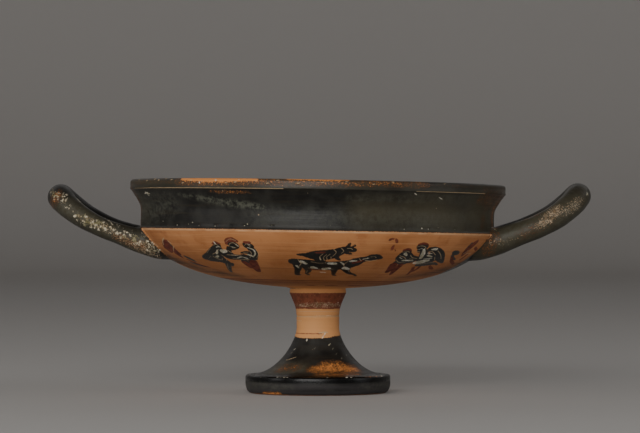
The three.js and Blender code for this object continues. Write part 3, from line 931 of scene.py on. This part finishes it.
# the lip: a worn lens on the left, olive towards the right, red-brown where the fire reached it
stain(
    "bloom", 1.0, 1.6, "lip", (-47, 108.9, 0.6), (-38, 107, 1.8), (-28, 104.8, 2.3), (-19, 102.8, 1.6),
    (-15, 102.2, 0.6),
)
stain("bloom", 0.3, 3, "lip", (-62, 108.8, 1.5), (-50, 108.4, 2))
stain("bloom", 0.26, 4, "lip", (-20, 98.5, 4), (20, 97.5, 5), (60, 99.2, 5))
stain("bloom", 0.6, 6, "lip", (-86, 101.8, 8), (-70, 102.1, 7), (-52, 104.5, 4))
stain("bloom", 0.5, 5, "lip", (74, 99.6, 6), (86, 103.8, 8))
stain("bloom", 0.5, 2, "lip", (10, 107.5, 1.5), (26, 108.4, 1.4), (46, 108.5, 1.4), (62, 108.8, 1))
stain("bloom", 0.6, 3, "lip", (140, 107, 2), (160, 108, 3), (178, 106, 2))
stain("olive", 1.0, 10, "lip", (14, 101.6, 6), (50, 102.4, 12), (88, 103.9, 12))
stain("olive", 0.7, 8, "lip", (-96, 104, 8), (-74, 103.3, 8))
stain("misfired", 0.62, 3, "lip", (79, 92.9, 2), (78, 103.5, 3.4), (77, 110.4, 2.2))
stain("misfired", 0.3, 3, "lip", (66, 95.4, 2), (68, 105.1, 2.4))
stain("misfired", 0.30, 4, "lip", (-84, 93, 4), (-80, 111.6, 5))
stain("misfired", 0.20, 2, "lip", (-70, 91.8, 0.8), (-40, 91.8, 0.9), (-14, 91.8, 0.5))
stain("misfired", 0.5, 5, "lip", (150, 94, 3), (156, 108, 4))
# the rim
stain("olive", 1.0, 2, "rim band", (-80, 115.6, 2), (-40, 115.6, 2), (0, 115.6, 2), (30, 115.6, 2))
stain("misfired", 0.14, 1.5, "rim band", (-88, 115.8, 2), (-48, 115.8, 2))
stain("misfired", 0.36, 1.5, "rim band", (-46, 115.6, 2), (-32, 115.6, 2.2), (-17, 115.8, 2))
stain("misfired", 1.7, 0.9, "rim band", (-44, 117.1, 0.8), (-32, 117, 1.2), (-18, 117.2, 0.8))
stain("misfired", 1.5, 0.8, "rim band", (-9, 117.5, 0.4), (2, 117.4, 0.6), (9, 117.5, 0.4))
stain("misfired", 0.6, 1.2, "rim band", (-38, 115.4, 0.6), (-30, 115.6, 1), (-26, 115.4, 0.6))
stain("misfired", 0.5, 1.0, "lip", (-34, 110.8, 0.3), (-27, 110.4, 1), (-20, 110.5, 0.3))
stain("misfired", 0.42, 1.5, "rim band", (-17, 116, 2), (8, 116, 2))
stain("misfired", 0.36, 1.5, "rim band", (8, 116, 1.8), (33, 116, 1.8))
stain("misfired", 0.14, 1.5, "rim band", (33, 116, 1.6), (80, 116, 1.6))
stain("misfired", 0.42, 2.5, "rim band", (122, 116, 0.8), (150, 116.4, 2.2), (183, 116, 0.8))
stain("worn", 0.62, 2, "rim band", (-66, 116, 1.8), (-15, 116, 1.8))
stain("worn", 0.56, 2, "rim band", (-15, 115.5, 1.5), (33, 115.5, 1.5))
stain(
    "misfired", 1.0, 4, "inside lip", (-158, 115, 2.6), (-150, 114, 4.4), (-143, 115.4, 3.4),
    (-137, 116, 2.4),
)
stain("misfired", 0.8, 4, "inside lip", (172, 116, 2.4), (180, 115, 3.4), (186, 116, 2))
stain("misfired", 0.5, 4, "inside lip", (60, 112, 4), (90, 110, 6))
# the collar's lower edge and the foot
stain("worn", 0.8, 1.4, "collar flare", (-70, 49, 1.4), (-20, 49.4, 2.3), (30, 49.4, 2.3), (75, 49, 1.4))
stain("worn", 0.6, 1.5, "collar flare", (-180, 48.6, 0.9), (-110, 48.6, 0.9))
stain("misfired", 0.84, 3.4, "flare", (-6, 14, 2.4), (22, 15, 4.8), (52, 13.8, 3.2))
stain("misfired", 0.62, 2.5, "flare", (0, 11.4, 2.2), (20, 11.4, 2.6), (44, 11.4, 2.2))
stain("misfired", 0.34, 3, "flare", (-50, 14, 3.6), (-30, 14.6, 3.4))
stain("olive", 1.0, 3, "flare", (-62, 14, 5), (-20, 14.6, 4))
stain("bloom", 0.9, 4, "flare", (-56, 13, 5), (-30, 13.4, 5))
stain("worn", 0.4, 4, "flare", (-10, 14, 3), (50, 14, 4))
stain("misfired", 0.8, 4, "flare", (165, 14, 3), (190, 13, 3))
stain("misfired", 1.0, 1.0, "foot edge", (-50, 0.9, 0.8), (-32, 0.9, 0.9))
stain("misfired", 0.7, 1.0, "foot edge", (40, 10.2, 0.4), (60, 10.2, 0.5))
stain("worn", 0.5, 1.5, "foot edge", (-40, 10.2, 1), (40, 10.2, 1))
# grey on the foot's upright side: a painted reflection of the floor
stain("bloom", 0.36, 1.2, "foot edge", (-90, 4.6, 2.2), (-45, 4.6, 2.2), (-20, 4.6, 1))
stain("bloom", 0.34, 1.2, "foot edge", (35, 4.6, 1.2), (60, 4.6, 2.2), (90, 4.6, 2.2))
# painted shade: the wall is darkened round and under the handles' roots
for side, strength in ((-1, 1.0), (1, 0.85)):
    for first, step in ((88, -1), (92, 1)):
        stain(
            "smoke", strength, 6, "bowl", (side * first, 84, 4), (side * (first + step * 9), 77, 8),
            (side * (first + step * 17), 71.5, 9), (side * (first + step * 27), 68, 6),
            (side * (first + step * 42), 65.6, 4),
        )
# the handles' marks are placed as seen from the side: (x, height above the table, half width)
handle_marks = [
    ("misfired", 0.5, 2.5, (-147.8, 105.4, 1.6), (-146, 109, 2.6), (-144.2, 112, 1.6)),
    ("lime", 0.92, 2.0, (-149, 113.4, 1.8), (-146, 110, 2.8), (-141.4, 110, 2.6), (-140, 106, 2)),
    ("lime", 0.62, 3, (-142, 105, 2.6), (-134, 101, 3)),
    ("lime", 0.98, 2.5, (-134, 99.4, 2.6), (-129, 97, 3.4), (-122, 94, 3.4), (-114.4, 92.4, 3)),
    ("lime", 0.7, 2.5, (-124, 102, 1.4), (-116, 96.4, 2), (-108, 93, 1.8)),
    ("lime", 0.84, 3, (-112, 90, 3.4), (-104, 87, 4), (-96, 84, 4.6), (-90, 80, 4.4)),
    ("lime", 0.62, 3, (-110, 84, 2.6), (-96, 78, 3), (-88, 75, 3), (-80, 72, 2)),
    ("olive", 1.0, 5, (-142, 104, 5), (-130, 99, 5), (-116, 91, 5), (-98, 82, 6)),
    ("bloom", 0.55, 4, (-140, 103, 3.5), (-132, 99, 4), (-124, 94, 4), (-104, 86, 4)),
    ("worn", 0.72, 3, (-118, 91, 3.2), (-108, 86.2, 4), (-96, 81, 5.6), (-86, 75, 3.6)),
    ("worn", 0.62, 3, (-146, 110, 3), (-140, 104, 3.4), (-126, 97, 3.4)),
    ("misfired", 0.5, 2.5, (-112, 88, 1.6), (-104, 84.6, 2.2), (-97, 82, 2.6)),
    ("olive", 1.0, 8, (90, 78, 8), (112, 91, 8), (126, 97, 9), (140, 104, 8), (148, 108, 6)),
    ("bloom", 0.5, 5, (104, 88, 4), (116, 91.6, 5), (128, 96, 5), (142, 104, 4)),
    ("worn", 0.80, 3, (121, 92.8, 3.4), (126.6, 97, 5.6), (132.6, 102.2, 5)),
    ("worn", 0.72, 3, (136, 100.8, 4.6), (142, 104.6, 6), (146, 107.4, 4.4)),
    ("worn", 0.66, 3, (96, 84, 4), (108, 86, 3.4), (118, 90.6, 3)),
    ("misfired", 0.26, 4, (112, 88, 2.6), (119, 91.6, 3), (127, 96.6, 4), (133, 102, 3)),
    ("lime", 0.4, 3, (138, 99.8, 2.4), (143, 104, 3.6), (147, 107.4, 2.4)),
    ("lime", 0.45, 4, (110, 88, 3), (120, 93, 4), (128, 98, 4)),
    ("misfired", 0.5, 2, (114, 98.4, 0.8), (121, 100.6, 0.8)),
    ("lime", 0.66, 3, (96.6, 84.4, 3), (103.6, 84, 2.8)),
    ("misfired", 0.4, 3, (94, 80, 3), (97, 87, 3)),
    ("lime", 1.0, 0.8, (98.4, 91.8, 0.9), (98.9, 91, 0.7)),
]
# pale marks on the front arms, as seen from the side: a pale streak on the left arm, and a painted
# highlight near the right handle's tip
handle_streak_and_highlight = [
    [(-134.6, 109.6, 0.25), (-133.2, 108.2, 0.5), (-131.9, 106.8, 0.3)],
    [(150, 112, 0.7), (150.4, 110.6, 0.8)],
]

# the gloss covers a band on the foot, then all of the lip and the inside but a small roundel
foot_slip_start = outline_length[stretch_rows["foot edge"]][0] - 0.7
inside_end = outline_length[-1]
roundel_radius = 14
roundel_dot = 1.9
roundel_rings = ((7.5, 0.7), (10.5, 0.35))  # radius and half width
foot_slip_height = 32.3
collar_paint_base, collar_paint_top = 47.1, 56.1
deepest = 4.0  # depths are only worked out this far from an edge, in mm


def wobble(turns, size, seed):
    turns = np.radians(turns)
    waves = sum(np.sin(count * turns + seed * (count + 1)) / count**0.4 for count in (3, 7, 16, 37, 71))
    return size * waves / 2


def outline_match(level):
    """For places without the bowl's lean: the outline's length beside each, and how far off it lies."""
    radius = np.hypot(level[:, 0], level[:, 1])
    spot = np.column_stack([radius, level[:, 2]])
    gap = np.full(len(spot), 1e9)
    length = np.zeros(len(spot))
    for row, (start, end) in enumerate(zip(outline, outline[1:])):
        along = end - start
        share = np.clip((spot - start) @ along / (along @ along), 0, 1)
        away = np.linalg.norm(spot - start - share[:, None] * along, axis=1)
        nearer = away < gap
        gap[nearer] = away[nearer]
        reached = outline_length[row] + share * (outline_length[row + 1] - outline_length[row])
        length[nearer] = reached[nearer]
    return length, gap


def depth_in(places, chains, reach=deepest):
    """How deep inside the nearest brush stroke each place is, in mm. It is negative off the strokes.

    A reach that is a whole number gives whole depths, so that a soft patch fades in steps of a mm.
    """
    depth = np.full(len(places), -reach)
    for chain in chains:
        margin = chain[:, 3].max() + reach
        low, high = chain[:, :3].min(axis=0) - margin, chain[:, :3].max(axis=0) + margin
        near = np.flatnonzero(((places > low) & (places < high)).all(axis=1))
        for start, end in zip(chain, chain[1:]):
            along = end[:3] - start[:3]
            spot = places[near] - start[:3]
            share = np.clip(spot @ along / max(along @ along, 1e-9), 0, 1)
            gap = np.linalg.norm(spot - share[:, None] * along, axis=1)
            depth[near] = np.maximum(depth[near], start[3] + share * (end[3] - start[3]) - gap)
    return depth


def vertex_places(mesh):
    places = np.empty(len(mesh.vertices) * 3, dtype=np.float32)
    mesh.vertices.foreach_get("co", places)
    return places.reshape(-1, 3).astype(float) / mm


# finer faces where paint ends, so that each edge is crisp
finest_edge = {"slip": 0.9, "cherry": 0.9, "white": 0.62, "incised": 0.43}
refined_reach = 1.9  # how far from a paint's edge the first round works
back_starts = 15
back_coarser = 1.35
too_long = 1.3  # an edge this many times its limit is halved
for fineness in range(3):
    level = upright(vertex_places(kylix.data))
    limit = np.full(len(level), 1e3)
    coarser_behind = np.where(level[:, 1] > back_starts, back_coarser, 1.0)
    for colour, finest in finest_edge.items():
        depth = depth_in(level, painted[colour])
        by_edge = np.abs(depth) < refined_reach / 2**fineness
        limit = np.where(by_edge, np.minimum(limit, finest * coarser_behind), limit)
    shape = bmesh.new()
    shape.from_mesh(kylix.data)
    shape.normal_update()
    coarse = [
        edge for edge in shape.edges
        if edge.calc_length() / mm > too_long * min(limit[edge.verts[0].index], limit[edge.verts[1].index])
    ]
    bmesh.ops.subdivide_edges(
        shape, edges=coarse, cuts=1, use_grid_fill=True, use_single_edge=True, smooth=1.0,
    )
    bmesh.ops.triangulate(shape, faces=[face for face in shape.faces if len(face.verts) > 4])
    shape.to_mesh(kylix.data)
    shape.free()

places = vertex_places(kylix.data)
level = upright(places)
turns = np.degrees(np.arctan2(level[:, 0], -level[:, 1]))
length, off_wall = outline_match(level)
from_centre = inside_end - length

slant = 0.4 * np.sin(np.radians(turns)) - 1.5 * np.cos(np.radians(turns))  # the foot's black ends aslant
foot_slip_end = length_at("flare", foot_slip_height) + slant
foot_zone = np.minimum(
    length - foot_slip_start - wobble(turns, 0.25, 1), foot_slip_end + wobble(turns, 0.12, 2) - length
)
lip_zone = np.minimum(
    length - shoulder_length - 0.15 - wobble(turns, 0.12, 3), from_centre - roundel_radius
)
ring_zones = [half - np.abs(from_centre - radius) for radius, half in roundel_rings]
slip_depth = np.maximum.reduce([
    depth_in(level, painted["slip"]), foot_zone, lip_zone, roundel_dot - from_centre, *ring_zones,
    off_wall - 0.5,
])
collar_zone = np.minimum(
    length - length_at("collar flare", collar_paint_base) - wobble(turns, 0.25, 4),
    length_at("collar", collar_paint_top) + wobble(turns, 0.1, 5) - length,
)
cherry_depth = np.maximum(depth_in(level, painted["cherry"]), collar_zone)

side_view = places * (1, 0, 1)
on_front_arms = (off_wall > 0.2) & (places[:, 1] < 0)
white_depth = depth_in(level, painted["white"])
# the left arm's pale streak and the painted highlight on the right handle's tip
for points in handle_streak_and_highlight:
    chain = np.array([(x, 0, z, half) for x, z, half in points])
    streak_and_highlight_depth = depth_in(side_view, [chain])
    white_depth = np.where(on_front_arms, np.maximum(white_depth, streak_and_highlight_depth), white_depth)

values = {
    "slip": np.clip(slip_depth, -deepest, deepest), "cherry": np.clip(cherry_depth, -deepest, deepest),
    "white": white_depth, "incised": depth_in(level, painted["incised"]), "along": length,
    "on_handle": np.clip(off_wall / 3, 0, 1),
}


def softened(depth, softness):
    share = np.clip(0.5 + depth / (2 * softness), 0, 1)
    return share * share * (3 - 2 * share)


marks_from, marks_back = 86, 4  # the handles' marks keep to the front half of the handles and their roots
by_handle = ((np.abs(places[:, 0]) > marks_from) & (places[:, 1] < marks_back)).astype(float)
for kind, patches in stained.items():
    value = np.zeros(len(places))
    for strength, softness, chain in patches:
        value = np.maximum(value, strength * softened(depth_in(level, [chain], softness), softness))
    for mark, strength, softness, *points in handle_marks:
        if mark == kind:
            chain = np.array([(x, 0, z, half) for x, z, half in points])
            soft = strength * softened(depth_in(side_view, [chain], softness), softness)
            value = np.maximum(value, soft * by_handle)
    values[kind] = value
for name, value in values.items():
    layer = kylix.data.attributes.new(name, "FLOAT", "POINT")
    layer.data.foreach_set("value", value.astype(np.float32))
for face in kylix.data.polygons:
    face.use_smooth = True

# --- The fired surface ----------------------------------------------------------------------------
# Orange clay burnished on the wheel, under a thin black gloss that turns brown, olive or red where it was
# thin or the fire reached it. Centuries have flaked it, scratched it, and left pale crust on the handles.

orange_clay = (0.41, 0.162, 0.055)
light_clay = (0.52, 0.225, 0.085)
red_clay = (0.36, 0.122, 0.039)
burnished_clay = (0.59, 0.295, 0.130)
clay_in_rings = (0.27, 0.10, 0.04)
dark_grit = (0.16, 0.07, 0.035)
pale_grit = (0.66, 0.45, 0.29)
stem_lit_clay = (0.74, 0.37, 0.145)
shoulder_highlight_clay = (0.68, 0.40, 0.21)
underside_shade_clay = (0.20, 0.080, 0.040)
root_shade_clay = (0.075, 0.045, 0.030)
deep_black = (0.0125, 0.0118, 0.0108)
soft_black = (0.027, 0.0262, 0.0225)
brown_black = (0.030, 0.024, 0.015)
olive_black = (0.060, 0.052, 0.032)
floor_reflection_black = (0.034, 0.031, 0.031)
shaded_top_black = (0.003, 0.003, 0.003)
grey_bloom_and_reflection = (0.090, 0.092, 0.070)
thin_brown = (0.075, 0.036, 0.016)
scorched_brown = (0.085, 0.040, 0.018)
fire_orange = (0.64, 0.245, 0.065)
deep_cherry = (0.110, 0.024, 0.015)
light_cherry = (0.200, 0.048, 0.028)
soiled_white = (0.46, 0.42, 0.29)
clean_white = (0.78, 0.73, 0.61)
scratched_clay = (0.52, 0.38, 0.22)
dirty_flake = (0.25, 0.165, 0.09)
pale_flake = (0.47, 0.36, 0.24)
earth_crust = (0.22, 0.16, 0.08)
lime_crust = (0.66, 0.58, 0.43)
moss = (0.15, 0.135, 0.045)


def mixed(under, over, factor):
    """One colour laid over another. Each is a socket or a plain (r, g, b)."""
    under, over = (
        colour if isinstance(colour, bpy.types.NodeSocket) else (*colour, 1) for colour in (under, over)
    )
    return node(clay_tree, "ShaderNodeMix", {0: factor, 6: under, 7: over}, data_type="RGBA").outputs[2]


def stepped(value, low, high, at_low=0.0, at_high=1.0):
    return eased(clay_tree, value, low, high, at_low, at_high)


def noise(vector, per_mm, detail=2.0, roughness=0.5):
    made = node(clay_tree, "ShaderNodeTexNoise", {
        "Vector": vector, "Scale": per_mm, "Detail": detail, "Roughness": roughness,
    })
    return made.outputs["Fac"]


def layer_value(name):
    return node(clay_tree, "ShaderNodeAttribute", attribute_name=name).outputs["Fac"]


def moved_by(vector, offset):
    return vector_math(clay_tree, "ADD", vector, offset)


plus, minus, times = arithmetic(clay_tree)
place = node(clay_tree, "ShaderNodeTexCoord").outputs["Object"]
in_mm = vector_math(clay_tree, "SCALE", place, Scale=1 / mm)
axes = node(clay_tree, "ShaderNodeSeparateXYZ", {0: in_mm}).outputs
along = layer_value("along")
on_handle = layer_value("on_handle")
turned_place = node(clay_tree, "ShaderNodeCombineXYZ", {
    0: times(axes["X"], 0.035), 1: times(axes["Y"], 0.035), 2: along,
}).outputs[0]

clouds = noise(in_mm, 0.035, 3.0)
patches = noise(moved_by(in_mm, (31.0, 7.0, 3.0)), 0.12, 3.0)
blotches = noise(moved_by(in_mm, (3.0, 17.0, 43.0)), 0.4, 3.0)
grain = noise(in_mm, 1.1, 3.0, 0.6)
grit = noise(moved_by(in_mm, (11.0, 5.0, 9.0)), 3.2, 2.0, 0.6)
specks = noise(moved_by(in_mm, (23.0, 2.0, 6.0)), 1.8, 2.0, 0.6)
wheel_lines = noise(turned_place, 0.55, 4.0, 0.65)
fine_lines = noise(moved_by(turned_place, (4.0, 2.0, 9.0)), 2.2, 2.0, 0.6)

# bare clay
clay = mixed(orange_clay, light_clay, stepped(clouds, 0.35, 0.65))
clay = mixed(clay, red_clay, stepped(patches, 0.52, 0.75, 0.0, 0.6))
clay = mixed(clay, burnished_clay, stepped(wheel_lines, 0.5, 0.72, 0.0, 0.5))
clay = mixed(clay, clay_in_rings, stepped(wheel_lines, 0.30, 0.46, 0.45, 0.0))
clay = mixed(clay, dark_grit, stepped(grit, 0.70, 0.78, 0.0, 0.55))
clay = mixed(clay, pale_grit, stepped(grit, 0.30, 0.24, 0.0, 0.5))
# painted light on bare clay: a paler stem as if lit strongly, a highlight under the shoulder, shade on the
# underside
on_stem = times(
    stepped(along, length_at("flare", 26), length_at("flare", 32)),
    stepped(along, shoulder_length - 66, shoulder_length - 86),
)
# the stem is painted paler, standing in for the strong light on it
clay = mixed(clay, stem_lit_clay, times(on_stem, 0.7))
below_shoulder = minus(shoulder_length, along)
# a painted highlight on the clay just under the shoulder's edge
shoulder_highlight = times(stepped(below_shoulder, 1.5, 0.5), stepped(below_shoulder, -0.2, 0.2))
clay = mixed(clay, shoulder_highlight_clay, times(shoulder_highlight, stepped(patches, 0.3, 0.6, 0.25, 0.8)))
# painted shade: the underside darkens from 53.5 mm below the shoulder down to the stem
underside_shade = times(stepped(below_shoulder, 53.5, 59.5), minus(1.0, on_stem))
clay = mixed(clay, underside_shade_clay, times(underside_shade, stepped(wheel_lines, 0.3, 0.6, 0.75, 0.35)))

# painted shade round the handles' roots
smoke = times(layer_value("smoke"), stepped(wheel_lines, 0.35, 0.62, 1.0, 0.6))
clay = mixed(clay, root_shade_clay, times(smoke, stepped(patches, 0.3, 0.55, 0.7, 1.0)))

# black gloss, thin at its edges
edge_wander = plus(times(minus(grain, 0.5), 0.55), times(minus(grit, 0.5), 0.25))
slip = plus(layer_value("slip"), times(edge_wander, 1.7))
slip_over = stepped(slip, -0.12, 0.14)
gloss = mixed(deep_black, soft_black, stepped(patches, 0.35, 0.7))
gloss = mixed(gloss, brown_black, stepped(wheel_lines, 0.48, 0.75, 0.0, 0.6))
olive = times(layer_value("olive"), stepped(clouds, 0.2, 0.6, 0.55, 1.0))
gloss = mixed(gloss, olive_black, olive)
# the foot's top ring is painted a deeper black as painted shade, and its upright side greyer as a painted
# reflection of the floor
on_foot_side = stepped(along, length_at("foot edge", 7.2), length_at("foot edge", 5.8))
on_foot_top = times(
    stepped(along, length_at("foot edge", 6.2), length_at("foot edge", 7.4)),
    stepped(along, length_at("flare", 11.2), length_at("flare", 10.6)),
)
gloss = mixed(gloss, floor_reflection_black, times(on_foot_side, stepped(wheel_lines, 0.35, 0.6, 0.35, 1.0)))
gloss = mixed(gloss, shaded_top_black, on_foot_top)
# grey bloom on the gloss, which on the foot's upright side is a painted reflection of the floor
bloom = times(layer_value("bloom"), stepped(plus(times(blotches, 0.6), times(grain, 0.4)), 0.40, 0.60))
gloss = mixed(gloss, grey_bloom_and_reflection, bloom)
thin = times(stepped(slip, 0.75, 0.05), 0.55)
gloss = mixed(gloss, thin_brown, thin)
speckle = plus(times(blotches, 0.2), plus(times(grain, 0.2), times(specks, 0.6)))
fire = plus(layer_value("misfired"), times(minus(speckle, 0.5), 4.2))
fire = times(fire, stepped(layer_value("misfired"), 0.02, 0.2))
gloss = mixed(gloss, scorched_brown, stepped(fire, 0.12, 0.42))
gloss = mixed(gloss, fire_orange, stepped(fire, 0.50, 1.05))
surface = mixed(clay, gloss, slip_over)

# added cherry red and white
cherry = plus(layer_value("cherry"), edge_wander)
cherry_over = times(stepped(cherry, -0.15, 0.2), stepped(grain, 0.24, 0.36))
cherry_colour = mixed(deep_cherry, light_cherry, stepped(blotches, 0.35, 0.65))
surface = mixed(surface, cherry_colour, times(cherry_over, 0.92))
white = plus(layer_value("white"), times(edge_wander, 0.8))
white_over = times(stepped(white, -0.1, 0.2), stepped(grit, 0.36, 0.50, 0.15, 1.0))
white_colour = mixed(soiled_white, clean_white, stepped(blotches, 0.38, 0.65))
surface = mixed(surface, white_colour, times(white_over, 0.9))

# lines drawn through the black
incised = plus(layer_value("incised"), times(minus(grit, 0.5), 0.16))
incised_over = stepped(incised, -0.12, 0.1)
surface = mixed(surface, scratched_clay, times(incised_over, 0.75))

# flaked gloss: clay shows in small chips, more where the cup is handled
straying = node(clay_tree, "ShaderNodeTexNoise", {"Vector": in_mm, "Scale": 1.3}).outputs["Color"]
chips = node(clay_tree, "ShaderNodeTexVoronoi", {
    "Vector": moved_by(in_mm, straying), "Scale": 0.42, "Randomness": 1.0,
}).outputs
chip_here = node(clay_tree, "ShaderNodeSeparateColor", {0: chips["Color"]}).outputs
chip_size = times(minus(chip_here["Red"], 0.972), 8.0)
chip = stepped(minus(chip_size, chips["Distance"]), 0.0, 0.08)
worn = layer_value("worn")
worn_grain = plus(times(grain, 0.16), times(specks, 0.40))
worn_spots = stepped(plus(times(worn, 0.34), worn_grain), 0.53, 0.57)
flaked = calculate(clay_tree, "MAXIMUM", times(chip, 0.8), times(worn_spots, stepped(worn, 0.05, 0.4)))
flake_colour = mixed(dirty_flake, pale_flake, stepped(blotches, 0.38, 0.62))
surface = mixed(surface, flake_colour, times(flaked, 0.85))

# pale crust
crust = layer_value("lime")
crumbs = noise(moved_by(in_mm, (2.0, 8.0, 5.0)), 0.62, 3.0, 0.6)
crusted = plus(times(crust, 0.22), plus(times(crumbs, 0.5), times(grit, 0.25)))
crust_over = times(stepped(crusted, 0.545, 0.60), stepped(crust, 0.03, 0.3))
crust_colour = mixed(earth_crust, lime_crust, stepped(crumbs, 0.49, 0.64))
crust_colour = mixed(crust_colour, moss, stepped(patches, 0.50, 0.60, 0.0, 0.75))
surface = mixed(surface, crust_colour, times(crust_over, 0.9))
clay_tree.links.new(surface, clay_shader.inputs["Base Color"])

# the gloss shines, clay and added colours stay dull
rough = stepped(wheel_lines, 0.3, 0.7, 0.31, 0.42)
rough = plus(rough, stepped(patches, 0.4, 0.7, 0.0, 0.10))
rough = plus(rough, times(bloom, 0.25))
rough = minus(rough, times(on_foot_top, 0.16))
rough = plus(rough, times(on_foot_side, 0.12))
gloss_here = times(slip_over, minus(1.0, cherry_over))
for dulled in (white_over, flaked, crust_over, incised_over):
    gloss_here = times(gloss_here, minus(1.0, times(dulled, 0.9)))
dull = stepped(grain, 0.3, 0.7, 0.62, 0.76)
roughness = plus(times(rough, gloss_here), times(dull, minus(1.0, gloss_here)))
clay_tree.links.new(roughness, clay_shader.inputs["Roughness"])
clay_shader.inputs["Specular IOR Level"].default_value = 0.24

# relief finer than the mesh, in mm
relief = times(minus(wheel_lines, 0.5), 0.10)
relief = plus(relief, times(minus(fine_lines, 0.5), 0.02))
relief = plus(relief, times(minus(grain, 0.5), 0.05))
relief = plus(relief, times(gloss_here, 0.03))
relief = minus(relief, times(incised_over, 0.08))
relief = minus(relief, times(flaked, 0.06))
relief = plus(relief, times(crust_over, 0.16))
relief = plus(relief, times(times(on_handle, minus(blotches, 0.5)), 0.35))
bump = node(clay_tree, "ShaderNodeBump", {"Height": relief, "Distance": mm, "Strength": 0.8})
clay_tree.links.new(bump.outputs["Normal"], clay_shader.inputs["Normal"])

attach(kylix, "root")
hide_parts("kylix")
